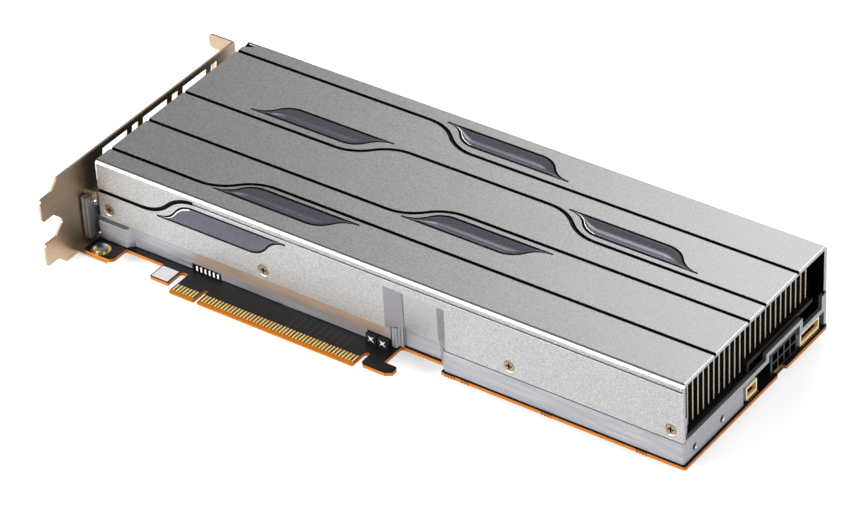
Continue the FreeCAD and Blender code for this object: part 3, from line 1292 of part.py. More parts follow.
def make_backplate():
    """Backplate with its spacers and countersunk screws."""
    low = "-board_thick - plate_gap - plate_thick"
    tools, spacers, screws = [], [], []
    for index, (x, y) in enumerate(BOSSES):
        tools.append(rod(f"plate_hole_{index}", (x, y, f"{low} - 1"), PASS_HOLE, "plate_thick + 2"))
        tools.append(cone(f"plate_sink_{index}", (x, y, low), "head_dia + 2 * hole_play",
                          PASS_HOLE, "plate_thick * plate_sink"))
        tube = rod(f"spacer_{index}", (x, y, "-board_thick - plate_gap"), "spacer_dia", "plate_gap")
        bore = rod(f"spacer_bore_{index}", (x, y, "-board_thick - plate_gap - 1"),
                   PASS_HOLE, "plate_gap + 2")
        spacers.append(cut(f"spacer_tube_{index}", tube, [bore]))
        head = cone(f"plate_head_{index}", (x, y, f"{low} + 0.02"), "head_dia", "screw_dia",
                    "plate_thick * plate_sink - 0.02")
        shank = rod(f"plate_shank_{index}", (x, y, f"{low} + 0.02"), "screw_dia", "plate_screw")
        cross = cross_recess(f"plate_cross_{index}", (x, y, f"{low} - 0.5"), "z", "head_dia", "1.0")
        screws.append(cut(f"plate_screw_{index}", fuse(f"plate_form_{index}", [head, shank]), [cross]))
    tools += [rod(f"plate_window_{index}", (x, y, f"{low} - 1"), "window_dia", "plate_thick + 2")
              for index, (x, y) in enumerate(clamp_spots())]
    node(cut("plate", slab("plate_sheet", "XY", low, [plate_outline()], "plate_thick"), tools), "backplate")
    node(group("spacer_set", spacers), "backplate_spacers")
    node(group("plate_screw_set", screws), "backplate_screws")


def make_clamp():
    """Clamp plate behind the processor and the screws that pull the heat sink onto it."""
    seat = "-board_thick - clamp_thick"
    screws = []
    for index, (x, y) in enumerate(clamp_spots()):
        head = rod(f"clamp_head_{index}", (x, y, f"{seat} - clamp_head_rise"),
                   "clamp_head", "clamp_head_rise")
        shank = rod(f"clamp_shank_{index}", (x, y, f"{seat} - 0.1"), "screw_dia", "clamp_run")
        cross = cross_recess(f"clamp_cross_{index}", (x, y, f"{seat} - clamp_head_rise - 0.5"), "z",
                             "clamp_head", "clamp_head_rise")
        screws.append(cut(f"clamp_screw_{index}", fuse(f"clamp_form_{index}", [head, shank]), [cross]))
    node(group("clamp_screw_set", screws), "clamp_screws")
    rim, arm = "2 * clamp_rim", "2 * clamp_arm"
    outer = centred("clamp_outer", "die_centre_x", DIE_Y, seat,
                    (f"2 * clamp_x + {rim}", f"2 * clamp_y + {rim}", "clamp_thick"))
    inner = centred("clamp_inner", "die_centre_x", DIE_Y, f"{seat} - 1",
                    (f"2 * clamp_x - {arm}", f"2 * clamp_y - {arm}", "clamp_thick + 2"))
    holes = [rod(f"clamp_plate_hole_{index}", (x, y, "-4"), PASS_HOLE, "4")
             for index, (x, y) in enumerate(clamp_spots())]
    node(cut("clamp", outer, [inner, *holes]), "clamp_plate")


make_cover()
make_inlays()
make_board()
make_contacts()
make_screw_pad()
make_cover_screws()
make_frame()
make_bracket()
make_bracket_screws()
make_heatsink_base()
make_fins()
make_processor()
make_power()
make_power_header()
make_small_header("sensor_header", "cover_width - sensor_back", 4)
make_small_header("signal_header", "cover_width - signal_back", 8)
make_small_parts()
make_backplate()
make_clamp()
doc.recompute()

for item in doc.Objects:
    for state in item.State:
        if state in ("Invalid", "Error"):
            raise ValueError(f"{item.Label} is {state}")
for item in NODES:
    shape = item.Shape
    if shape.isNull() or not shape.isValid() or not shape.Solids:
        raise ValueError(item.Label + " has no valid solid")
    shape.exportStep(f"parts/{item.Label}.step")
    print(f"{item.Label:24s} solids {len(shape.Solids):3d}  volume {shape.Volume:10.1f}")
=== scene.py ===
"""Passive accelerator card: finishes, small board fittings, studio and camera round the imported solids."""
import logging
import math
from dataclasses import dataclass, replace
from enum import Enum, IntEnum

import bmesh
import bpy
from mathutils import Matrix, Vector


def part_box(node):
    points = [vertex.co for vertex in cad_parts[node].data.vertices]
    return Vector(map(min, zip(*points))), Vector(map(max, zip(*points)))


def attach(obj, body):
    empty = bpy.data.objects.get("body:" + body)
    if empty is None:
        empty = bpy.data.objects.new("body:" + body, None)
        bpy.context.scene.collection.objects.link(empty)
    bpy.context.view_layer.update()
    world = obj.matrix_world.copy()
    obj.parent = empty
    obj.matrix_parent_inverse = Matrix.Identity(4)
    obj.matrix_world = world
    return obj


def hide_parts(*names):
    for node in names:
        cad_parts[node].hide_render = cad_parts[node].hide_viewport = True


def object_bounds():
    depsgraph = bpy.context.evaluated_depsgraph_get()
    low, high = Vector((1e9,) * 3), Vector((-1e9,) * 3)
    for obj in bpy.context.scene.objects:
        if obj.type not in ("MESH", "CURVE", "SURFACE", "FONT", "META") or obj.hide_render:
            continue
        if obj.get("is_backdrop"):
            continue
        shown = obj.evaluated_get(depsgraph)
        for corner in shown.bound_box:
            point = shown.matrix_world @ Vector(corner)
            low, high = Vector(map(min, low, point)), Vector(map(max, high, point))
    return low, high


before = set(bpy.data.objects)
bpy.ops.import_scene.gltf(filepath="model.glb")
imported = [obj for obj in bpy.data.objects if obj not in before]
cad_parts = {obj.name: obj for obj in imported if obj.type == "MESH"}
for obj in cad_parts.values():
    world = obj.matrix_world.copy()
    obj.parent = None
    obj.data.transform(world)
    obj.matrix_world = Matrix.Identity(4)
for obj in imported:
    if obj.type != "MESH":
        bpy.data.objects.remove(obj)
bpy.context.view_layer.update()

LOG = logging.getLogger("accelerator_card")
MM = 0.001
MICRON = MM / 1000
# Length in millimetres under which two places count as one.
TINY = 1e-6
# Room at both ends of a facing span, so that rounding doesn't drop a face that looks
# straight along an axis.
FACING_ROOM = 0.01
# Noise mostly lies in these ranges, which are stretched over the whole way between two values.
GRAIN_RANGE = {"From Min": 0.3, "From Max": 0.7}
CLOUD_RANGE = {"From Min": 0.35, "From Max": 0.65}

Tree = bpy.types.NodeTree
Node = bpy.types.Node
Socket = bpy.types.NodeSocket
Form = bmesh.types.BMesh
Span = tuple[float, float]
Edge = tuple[Vector, Vector]

# Shares of a surface's direction when it looks straight along an axis or straight against it.
STRAIGHT_ALONG: Span = (0.9, 1.0)
STRAIGHT_AGAINST: Span = (-1.0, -0.9)


def linear(code: str) -> tuple[float, float, float, float]:
    """Turn an sRGB colour written as "#rrggbb" into linear red, green, blue and alpha."""
    parts = [int(code[i:i + 2], 16) / 255 for i in (1, 3, 5)]
    return (*(p / 12.92 if p <= 0.04045 else ((p + 0.055) / 1.055) ** 2.4 for p in parts), 1.0)


def put(tree: Tree, kind: str, settings: dict | None = None, links: dict | None = None) -> Node:
    """Add a node, set its properties and socket values, and link its inputs.

    Args:
        tree: Node tree that gets the node.
        kind: Blender's node type.
        settings: Property names, or socket names or numbers, with their values.
        links: Socket names or numbers with the output sockets that feed them.

    Returns:
        The new node.
    """
    node = tree.nodes.new(kind)
    for key, value in (settings or {}).items():
        if isinstance(key, int) or key in node.inputs:
            node.inputs[key].default_value = value
        else:
            setattr(node, key, value)
    for key, source in (links or {}).items():
        tree.links.new(source, node.inputs[key])
    return node


class Axis(IntEnum):
    """Axes by their number in a vector."""

    X = 0
    Y = 1
    Z = 2


class InlayFace(IntEnum):
    """Faces of an inlay by the number of their finish."""

    PLATE = 0
    # The seam's faces get painted shade.
    SEAM = 1
    # Faces with the painted highlight.
    BRIGHT = 2


class Grain(Enum):
    """Stretch of a finish's fine grain along X, Y and Z."""

    EVEN = (1.0, 1.0, 1.0)
    ALONG_X = (0.04, 1.0, 1.0)
    ALONG_Y = (1.0, 0.04, 1.0)


@dataclass(frozen=True)
class Zone:
    """Part of a surface that has a colour of its own.

    Each span holds the lowest and highest place in millimetres in the row frame, or the
    lowest and highest share of the surface's direction along that axis. A soft zone fades
    over that many millimetres on both sides of its limits. Where every is given, the zone
    comes back along X: its start, its spacing and its width.
    """

    colour: str
    x: Span | None = None
    y: Span | None = None
    z: Span | None = None
    facing_x: Span | None = None
    facing_y: Span | None = None
    facing_z: Span | None = None
    soft: float = 0.0
    every: tuple[float, float, float] | None = None

    def mask(self, tree: Tree, place: Node, facing: Node) -> Socket:
        """Build the test of whether a point is in the zone.

        Args:
            tree: Material's node tree.
            place: Separated object coordinates in metres.
            facing: Separated surface direction.

        Returns:
            A socket that is 1 inside the zone and 0 outside.
        """
        spans = [(place.outputs[index], getattr(self, axis), MM, 0.0, self.soft * MM)
                 for index, axis in enumerate("xyz")]
        spans += [(facing.outputs[index], getattr(self, f"facing_{axis}"), 1.0, FACING_ROOM, 0.0)
                  for index, axis in enumerate("xyz")]
        if self.every:
            start, spacing, width = self.every
            past = put(tree, "ShaderNodeMath", {"operation": "SUBTRACT", 1: start * MM},
                       {0: place.outputs[0]})
            turn = put(tree, "ShaderNodeMath", {"operation": "FLOORED_MODULO", 1: spacing * MM},
                       {0: past.outputs[0]})
            spans.append((turn.outputs[0], (0.0, width), MM, 0.0, self.soft * MM))
        inside = None
        for source, span, unit, room, fade in spans:
            if span is None:
                continue
            middle, half = (span[0] + span[1]) / 2 * unit, (span[1] - span[0]) / 2 * unit + room
            test = self.within(tree, source, middle, half, fade)
            inside = test if inside is None else put(
                tree, "ShaderNodeMath", {"operation": "MULTIPLY"}, {0: inside, 1: test}).outputs[0]
        return inside

    @staticmethod
    def within(tree: Tree, source: Socket, middle: float, half: float, fade: float) -> Socket:
        """Test a value against one span.

        Args:
            tree: Material's node tree.
            source: Socket with the value.
            middle: Middle of the span.
            half: Half of the span.
            fade: Distance over which the test fades on each side of a limit; 0 is a sharp limit.

        Returns:
            A socket that is 1 in the span and 0 outside.
        """
        if not fade:
            return put(tree, "ShaderNodeMath", {"operation": "COMPARE", 1: middle, 2: half},
                       {0: source}).outputs[0]
        away = put(tree, "ShaderNodeMath", {"operation": "SUBTRACT", 1: middle}, {0: source})
        away = put(tree, "ShaderNodeMath", {"operation": "ABSOLUTE"}, {0: away.outputs[0]})
        return put(tree, "ShaderNodeMapRange", {
            "interpolation_type": "SMOOTHSTEP", "From Min": half + fade, "From Max": half - fade},
            {"Value": away.outputs[0]}).outputs[0]


@dataclass(frozen=True)
class Finish:
    """One real material with the way its surface was made.

    The grain is its finest pattern and the clouds its slowest, and both run from the light
    to the dark colour. The roughness goes up and down by the spread with the grain. Grain
    under 0.3 mm would not show, so a finer one is drawn at 0.3 mm or more.
    """

    name: str
    light: str
    dark: str
    grain_mm: float
    metallic: float = 0.0
    roughness: float = 0.5
    spread: float = 0.06
    bump_mm: float = 0.0
    grain: Grain = Grain.EVEN
    cloud_mm: float = 30.0
    cloud: float = 0.25
    specular: float = 0.5
    zones: tuple[Zone, ...] = ()

    def material(self) -> bpy.types.Material:
        """Build the material, or find the one built before.

        Returns:
            The material, with its colour, roughness and bump from nodes.
        """
        made = bpy.data.materials.get(self.name)
        if made:
            return made
        made = bpy.data.materials.new(self.name)
        made.use_nodes = True
        tree = made.node_tree
        shader = tree.nodes["Principled BSDF"]
        coords = put(tree, "ShaderNodeTexCoord")
        grain = self.noise(tree, coords)
        colour = self.colour(tree, coords, grain)
        tree.links.new(colour, shader.inputs["Base Color"])
        rough = put(tree, "ShaderNodeMapRange",
                    GRAIN_RANGE | {"To Min": self.roughness - self.spread,
                                   "To Max": self.roughness + self.spread}, {"Value": grain})
        tree.links.new(rough.outputs[0], shader.inputs["Roughness"])
        shader.inputs["Metallic"].default_value = self.metallic
        shader.inputs["Specular IOR Level"].default_value = self.specular
        if self.bump_mm:
            bump = put(tree, "ShaderNodeBump", {"Strength": 1.0, "Distance": self.bump_mm * MM},
                       {"Height": grain})
            tree.links.new(bump.outputs[0], shader.inputs["Normal"])
        return made

    def noise(self, tree: Tree, coords: Node) -> Socket:
        """Build the fine grain.

        Args:
            tree: Material's node tree.
            coords: Texture coordinates.

        Returns:
            A socket between 0 and 1.
        """
        stretched = put(tree, "ShaderNodeMapping", {"Scale": self.grain.value},
                        {"Vector": coords.outputs["Object"]})
        return put(tree, "ShaderNodeTexNoise",
                   {"Scale": 1.0 / (self.grain_mm * MM), "Detail": 2.0, "Roughness": 0.6},
                   {"Vector": stretched.outputs[0]}).outputs[0]

    def colour(self, tree: Tree, coords: Node, grain: Socket) -> Socket:
        """Lay slow clouds over the fine grain and the zones over both.

        Args:
            tree: Material's node tree.
            coords: Texture coordinates.
            grain: Fine grain between 0 and 1.

        Returns:
            The surface's colour.
        """
        share = put(tree, "ShaderNodeMapRange", GRAIN_RANGE, {"Value": grain})
        mixed = put(tree, "ShaderNodeMix", {"data_type": "RGBA", 6: linear(self.dark), 7: linear(self.light)},
                    {0: share.outputs[0]}).outputs[2]
        clouds = put(tree, "ShaderNodeTexNoise", {"Scale": 1.0 / (self.cloud_mm * MM), "Detail": 1.0},
                     {"Vector": coords.outputs["Object"]})
        amount = put(tree, "ShaderNodeMapRange", CLOUD_RANGE | {"To Max": self.cloud},
                     {"Value": clouds.outputs[0]})
        mixed = put(tree, "ShaderNodeMix", {"data_type": "RGBA", 7: linear(self.dark)},
                    {0: amount.outputs[0], 6: mixed}).outputs[2]
        if self.zones:
            place = put(tree, "ShaderNodeSeparateXYZ", None, {0: coords.outputs["Object"]})
            facing = put(tree, "ShaderNodeSeparateXYZ", None, {0: coords.outputs["Normal"]})
            for zone in self.zones:
                mixed = put(tree, "ShaderNodeMix", {"data_type": "RGBA", 7: linear(zone.colour)},
                            {0: zone.mask(tree, place, facing), 6: mixed}).outputs[2]
        return mixed

    def dress(self, *names: str) -> None:
        """Put the material in every slot of the solids.

        Args:
            names: Names of the solids' nodes.
        """
        made = self.material()
        for name in names:
            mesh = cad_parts[name].data
            if not mesh.materials:
                mesh.materials.append(made)
            for index in range(len(mesh.materials)):
                mesh.materials[index] = made
            LOG.info("%s: %s", name, self.name)


def millimetres(name: str) -> tuple[Vector, Vector]:
    """Return a solid's lowest and highest corners in millimetres."""
    low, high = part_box(name)
    return Vector(low) / MM, Vector(high) / MM


def near(place: float, span: Span) -> Span:
    """Return the span that is measured from a place."""
    return place + span[0], place + span[1]


def piece(name: str, form: Form, finishes: tuple[Finish, ...],
          smooth: bool = False) -> bpy.types.Object:
    """Turn a mesh form into a piece of the card.

    Args:
        name: Name of the new piece.
        form: Mesh form in metres; it is freed.
        finishes: Finishes, in the order of the faces' material numbers.
        smooth: Whether its faces are shaded smooth.

    Returns:
        The new object, riding on the card.
    """
    bmesh.ops.recalc_face_normals(form, faces=form.faces)
    mesh = bpy.data.meshes.new(name)
    form.to_mesh(mesh)
    form.free()
    for face in mesh.polygons:
        face.use_smooth = smooth
    for finish in finishes:
        mesh.materials.append(finish.material())
    made = bpy.data.objects.new(name, mesh)
    bpy.context.scene.collection.objects.link(made)
    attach(made, "root")
    LOG.info("%s: %d faces", name, len(mesh.polygons))
    return made


def block(form: Form, low: Vector, high: Vector, rounding: float) -> None:
    """Add a block with rounded edges to a form.

    Args:
        form: Mesh form that gets the block.
        low: Lowest corner in millimetres.
        high: Highest corner in millimetres.
        rounding: Radius of the edges in millimetres.
    """
    corners = bmesh.ops.create_cube(form, size=1.0)["verts"]
    for corner in corners:
        corner.co = Vector([(low[i] + (corner.co[i] + 0.5) * (high[i] - low[i])) * MM for i in range(3)])
    edges = list({edge for corner in corners for edge in corner.link_edges})
    bmesh.ops.bevel(form, geom=edges, offset=rounding * MM, segments=2, profile=0.5, affect="EDGES")


# Bead-blasted, clear-anodised aluminium: an even silver sparkle with soft highlights.
# The blast's dimples are about a tenth of a millimetre wide and would not show, so they
# are drawn at half a millimetre.
BLASTED = Finish("bead blasted anodised aluminium", "#c0c0c0", "#959595", 0.5, 0.9, 0.42, 0.06, 0.034,
                 cloud=0.08, specular=0.3)
# Dye-anodised aluminium plate: slate blue-grey, satin, with a slow sheen.
SLATE = Finish("slate anodised aluminium", "#83818c", "#6f6d79", 0.5, 0.8, 0.3, 0.04, 0.004, cloud=0.15)
# The same plate in painted shade for the front wall: darker, nearer to charcoal than to slate.
SHADED_SLATE = replace(SLATE, name="slate anodised aluminium of the side", light="#66646f", dark="#565460")
# Painted shade in the seam round each inlay: a matt near-black ring that stands for the shadowed gap.
SEAM_SHADE = Finish("painted seam shade", "#0d0d0f", "#070708", 0.4, 0.0, 0.7, 0.05, 0.01, specular=0.1)
# Painted highlight on the steep lips of the inlays: near-white mirror metal where their edges face the light.
LIP_HIGHLIGHT = Finish("painted lip highlight", "#fffaf0", "#e6dccb", 0.4, 1.0, 0.3, 0.05)
# Bright tin over copper: pale, nearly white metal.
TIN = Finish("bright tin plating", "#ffffff", "#f0eee8", 0.3, 0.3, 0.35, 0.05)
# Moulded epoxy: dull black with a fine mould texture.
EPOXY = Finish("moulded epoxy", "#121214", "#0a0a0b", 0.4, 0.0, 0.55, 0.06, 0.01, specular=0.25)
# Hard gold over nickel: bright and slightly rosy.
GOLD = Finish("hard gold plating", "#f6d57c", "#cfa34c", 0.4, 1.0, 0.34, 0.05)


@dataclass
class Inlays:
    """Dished slate plates, each in a seam of painted shade, that fill the leaf-shaped windows.

    The outlines are those of the flat inlays that the plates stand for, and all sizes are
    in millimetres. Across is the axis over the plate, out the axis off its skin and side
    the way along that axis. A seam of painted shade or a lip takes no more than its share
    of a narrow place, and a lip gets a painted highlight where its slope over the run is
    steep enough.
    """

    node: str
    name: str
    across: Axis
    out: Axis
    side: float
    # Sides whose steep lip gets the painted highlight.
    bright: tuple[bool, bool] = (False, False)
    plate_finish: Finish = SLATE
    stations: int = 96
    seam: float = 0.85
    seam_share: float = 0.24
    seam_sunk: float = 0.06
    lip: float = 0.3
    lip_share: float = 0.16
    lip_sunk: float = 0.08
    dish: float = 0.9
    full_dish_wide: float = 6.0
    steps: int = 14
    end_room: float = 0.02
    bright_climb: float = 0.16
    outward: float = 0.9

    def islands(self) -> list[list[Edge]]:
        """Find the outer face of each flat inlay.

        Returns:
            For each inlay, its outline as a list of edges in millimetres.
        """
        form = bmesh.new()
        form.from_mesh(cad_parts[self.node].data)
        bmesh.ops.remove_doubles(form, verts=form.verts, dist=MICRON)
        left = {face for face in form.faces if face.normal[self.out] * self.side > self.outward}
        found = []
        while left:
            reached = [left.pop()]
            for face in reached:
                near = {other for edge in face.edges for other in edge.link_faces} & left
                left -= near
                reached.extend(near)
            own = set(reached)
            found.append([tuple(corner.co / MM for corner in edge.verts)
                          for face in reached for edge in face.edges
                          if len(own & set(edge.link_faces)) == 1])
        form.free()
        return found

    def limits(self, edges: list[Edge], along: float) -> Span:
        """Return where the outline crosses one station.

        Args:
            edges: Outline's edges.
            along: Station's place along X in millimetres.

        Returns:
            The outline's lowest and highest place across.
        """
        crossed = []
        for start, end in edges:
            if abs(end.x - start.x) > TINY and min(start.x, end.x) <= along <= max(start.x, end.x):
                share = (along - start.x) / (end.x - start.x)
                crossed.append(start[self.across] + share * (end[self.across] - start[self.across]))
        return min(crossed), max(crossed)

    def profile(self, width: float) -> list[Span]:
        """Return distance across and depth under the skin of each point of one station.

        Args:
            width: Window's width at the station.

        Returns:
            Distance from the lower edge and depth, in millimetres.
        """
        seam = min(self.seam, self.seam_share * width)
        lip = min(self.lip, self.lip_share * width)
        inner = width - 2 * (seam + lip)
        deep = self.dish * min(1.0, inner / self.full_dish_wide)
        points = [(0.0, self.seam_sunk), (seam, self.seam_sunk)]
        for step in range(self.steps + 1):
            share = step / self.steps
            points.append((seam + lip + share * inner, self.lip_sunk + deep * math.sin(math.pi * share)))
        points += [(width - seam, self.seam_sunk), (width, self.seam_sunk)]
        return points

    def plate(self, form: Form, edges: list[Edge], skin: float) -> None:
        """Add one plate with its seam to a form.

        Args:
            form: Mesh form that gets the plate.
            edges: Outline's edges.
            skin: Level of the cover's skin in millimetres.
        """
        ends = [corner.x for edge in edges for corner in edge]
        middle, half = (min(ends) + max(ends)) / 2, (max(ends) - min(ends)) / 2 - self.end_room
        rows, reach = [], []
        for index in range(self.stations + 1):
            along = middle - half * math.cos(math.pi * index / self.stations)
            low, high = self.limits(edges, along)
            reach.append((along, low, high))
            row = []
            for across, depth in self.profile(high - low):
                place = Vector((along, 0.0, 0.0))
                place[self.across] = low + across
                place[self.out] = skin - self.side * depth
                row.append(form.verts.new(place * MM))
            rows.append(row)
        last = len(rows[0]) - 2
        for index in range(self.stations):
            run = max(reach[index + 1][0] - reach[index][0], TINY)
            climbs = [abs(reach[index + 1][side] - reach[index][side]) / run for side in (1, 2)]
            first_half = reach[index][0] < middle
            for step in range(last + 1):
                face = form.faces.new((rows[index][step], rows[index + 1][step],
                                       rows[index + 1][step + 1], rows[index][step + 1]))
                # Seam faces get the painted shade.
                face.material_index = InlayFace.SEAM if step in (0, last) else InlayFace.PLATE
                # Steep lip faces on the first half get the painted highlight.
                for side, lip in ((0, 1), (1, last - 1)):
                    steep = climbs[side] > self.bright_climb
                    if step == lip and first_half and self.bright[side] and steep:
                        face.material_index = InlayFace.BRIGHT

    def build(self) -> None:
        """Build the plates and let them stand for the flat inlays."""
        low, high = millimetres("top_cover")
        skin = (high if self.side > 0 else low)[self.out]
        form = bmesh.new()
        for edges in self.islands():
            self.plate(form, edges, skin)
        made = piece(self.name, form, (self.plate_finish, SEAM_SHADE, LIP_HIGHLIGHT),
                     smooth=True)
        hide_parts(self.node)


@dataclass
class Cover:
    """Channel-shaped cover with engraved lines and dark inlays.

    Sizes are in millimetres and angles in degrees. A rise is measured from the top, a reach
    from the front wall's face, and a run from the bracket end, unless its comment says
    otherwise.
    """

    wall: float = 1.3
    chamfer: float = 1.2
    # Painted highlight on the edge of the top sheet over the open end, from that end and from the top.
    rear_run: Span = (-0.5, 0.1)
    rear_rise: Span = (-0.35, 0.1)
    # Painted shade on the inner faces, from the front wall to short of the back.
    inner_from: float = 40.0
    inner_short: float = 0.5
    # Painted highlight on the long chamfer.
    chamfer_rise: Span = (-1.4, -0.12)
    # Painted dark line of shade along the chamfer's upper edge.
    edge_rise: Span = (-0.42, 1.0)
    edge_reach: Span = (-0.1, 1.6)
    # Painted highlight on the upright edge at the bracket end.
    end_run: Span = (-1.0, 0.8)
    end_low: float = 17.0
    end_short: float = 0.8
    # Painted shade on the slope into the latch recess.
    recess_run: Span = (130.0, 142.0)
    # The painted shade in the cuts starts just under the skin, so that their rims keep the skin's colour.
    top_cut_short: float = 0.2
    top_cut_beside: float = 0.3
    top_cut_rise: Span = (-1.2, -0.03)
    side_cut_reach: Span = (0.04, 1.3)
    side_cut_low: float = 10.0
    side_cut_short: float = 1.9
    line_wide: float = 1.25
    line_start: float = 0.4
    line_level: float = 32.3
    line_from: float = 46.0
    # Painted shade on the sides of the line after its step, from its upper and from its lower edge.
    upper_side: Span = (-0.3, 0.14)
    lower_side: Span = (-0.2, 0.14)
    lower_reach: Span = (-0.1, 1.3)
    pocket_run: float = 48.0
    pocket_below: float = 0.6
    edge_break: float = 0.24
    edge_turn: float = 50.0
    whole_turn: float = 0.4
    # Painted shade in the engraved lines and pockets: black, and greyer on the sides of the line after its
    # step.
    cut: str = "#020202"
    fine_groove_shade: str = "#221e22"
    faint_groove_shade: str = "#48434a"
    # Painted shade inside the cover.
    unlit: str = "#191a1d"
    # Painted highlight on the lit edges.
    bright: str = "#ffffff"
    # Painted shade along the chamfer's upper edge.
    edge_shade_line: str = "#77706a"
    # Painted shade on the recess slope.
    slope: str = "#959397"

    def zones(self) -> tuple[Zone, ...]:
        """List where the cover differs from its plain skin: painted highlights on its edges, and painted
        shade inside it, on its recess slope and in its cuts.

        Returns:
            The zones; a later one lies over an earlier one.
        """
        low, high = millimetres("top_cover")
        top, front, back = high.z, low.y, high.y
        turn, end = low.x + self.line_from, high.x - self.line_start
        above, below = self.line_level + self.line_wide / 2, self.line_level - self.line_wide / 2
        cut_reach = near(front, self.side_cut_reach)
        beside = self.chamfer + self.top_cut_beside
        return (
            # Painted highlight on the broken edge of the top sheet over the open end.
            Zone(self.bright, x=near(high.x, self.rear_run), y=(front, back), z=near(top, self.rear_rise)),
            # Painted shade on the inner faces of the back wall and of the top sheet.
            Zone(self.unlit, y=(front + self.inner_from, back - self.inner_short),
                 facing_y=STRAIGHT_AGAINST),
            Zone(self.unlit, z=(0.0, top - self.wall), facing_z=STRAIGHT_AGAINST),
            # Painted highlights on the long chamfer and on the upright edge at the bracket end.
            Zone(self.bright, z=near(top, self.chamfer_rise), facing_y=(-0.95, -0.5), facing_z=(0.3, 0.82)),
            Zone(self.bright, x=near(low.x, self.end_run), z=(low.z + self.end_low, top - self.end_short),
                 facing_y=(-1.0, -0.2)),
            # Painted shade on the slope into the latch recess.
            Zone(self.slope, x=near(low.x, self.recess_run), facing_x=(0.3, 0.95), facing_y=(-0.95, -0.3)),
            # Painted shade in the engraved lines and pockets of the top.
            Zone(self.cut, x=(low.x + self.top_cut_short, high.x - self.top_cut_short),
                 y=(front + beside, back - beside), z=near(top, self.top_cut_rise)),
            # Painted shade in the front wall's line before its step, and on both sides of it after the step.
            Zone(self.cut, x=(low.x + self.line_start, turn), y=cut_reach,
                 z=(low.z + self.side_cut_low, top - self.side_cut_short)),
            Zone(self.fine_groove_shade, x=(turn, end), y=cut_reach, z=near(above, self.upper_side)),
            Zone(self.faint_groove_shade, x=(turn, end), y=near(front, self.lower_reach),
                 z=near(below, self.lower_side)),
            # Painted shade: a thin dark line along the upper edge of the long chamfer.
            Zone(self.edge_shade_line, y=near(front, self.edge_reach), z=near(top, self.edge_rise),
                 facing_y=(-0.95, -0.2)),
            # Painted shade in the pocket of the front wall's inlay.
            Zone(self.cut, x=(turn, turn + self.pocket_run), y=cut_reach,
                 z=(low.z + self.side_cut_low, below - self.pocket_below)),
        )

    def dress(self) -> None:
        """Give the cover its blasted skin with its painted highlights and shade, and break its sharp edges.
        """
        replace(BLASTED, zones=self.zones()).dress("top_cover")
        self.break_edges()

    def break_edges(self) -> None:
        """Cut a small flat on each sharp edge, which then catches the light."""
        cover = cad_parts["top_cover"]
        weld = cover.modifiers.new("joined faces", "WELD")
        weld.merge_threshold = MICRON
        whole = cover.modifiers.new("whole faces", "DECIMATE")
        whole.decimate_type = "DISSOLVE"
        whole.angle_limit = math.radians(self.whole_turn)
        broken = cover.modifiers.new("broken edges", "BEVEL")
        broken.width = self.edge_break * MM
        broken.segments = 1
        broken.limit_method = "ANGLE"
        broken.angle_limit = math.radians(self.edge_turn)
        broken.use_clamp_overlap = False

    def build(self) -> None:
        """Build the dished inlays of the top and of the front wall."""
        Inlays("top_inlays", "top_inlay_plates", Axis.Y, Axis.Z, 1.0, (True, False)).build()
        Inlays("side_inlay", "side_inlay_plate", Axis.Z, Axis.Y, -1.0, (False, True), SHADED_SLATE,
               seam=0.5, lip=0.7, dish=0.2).build()


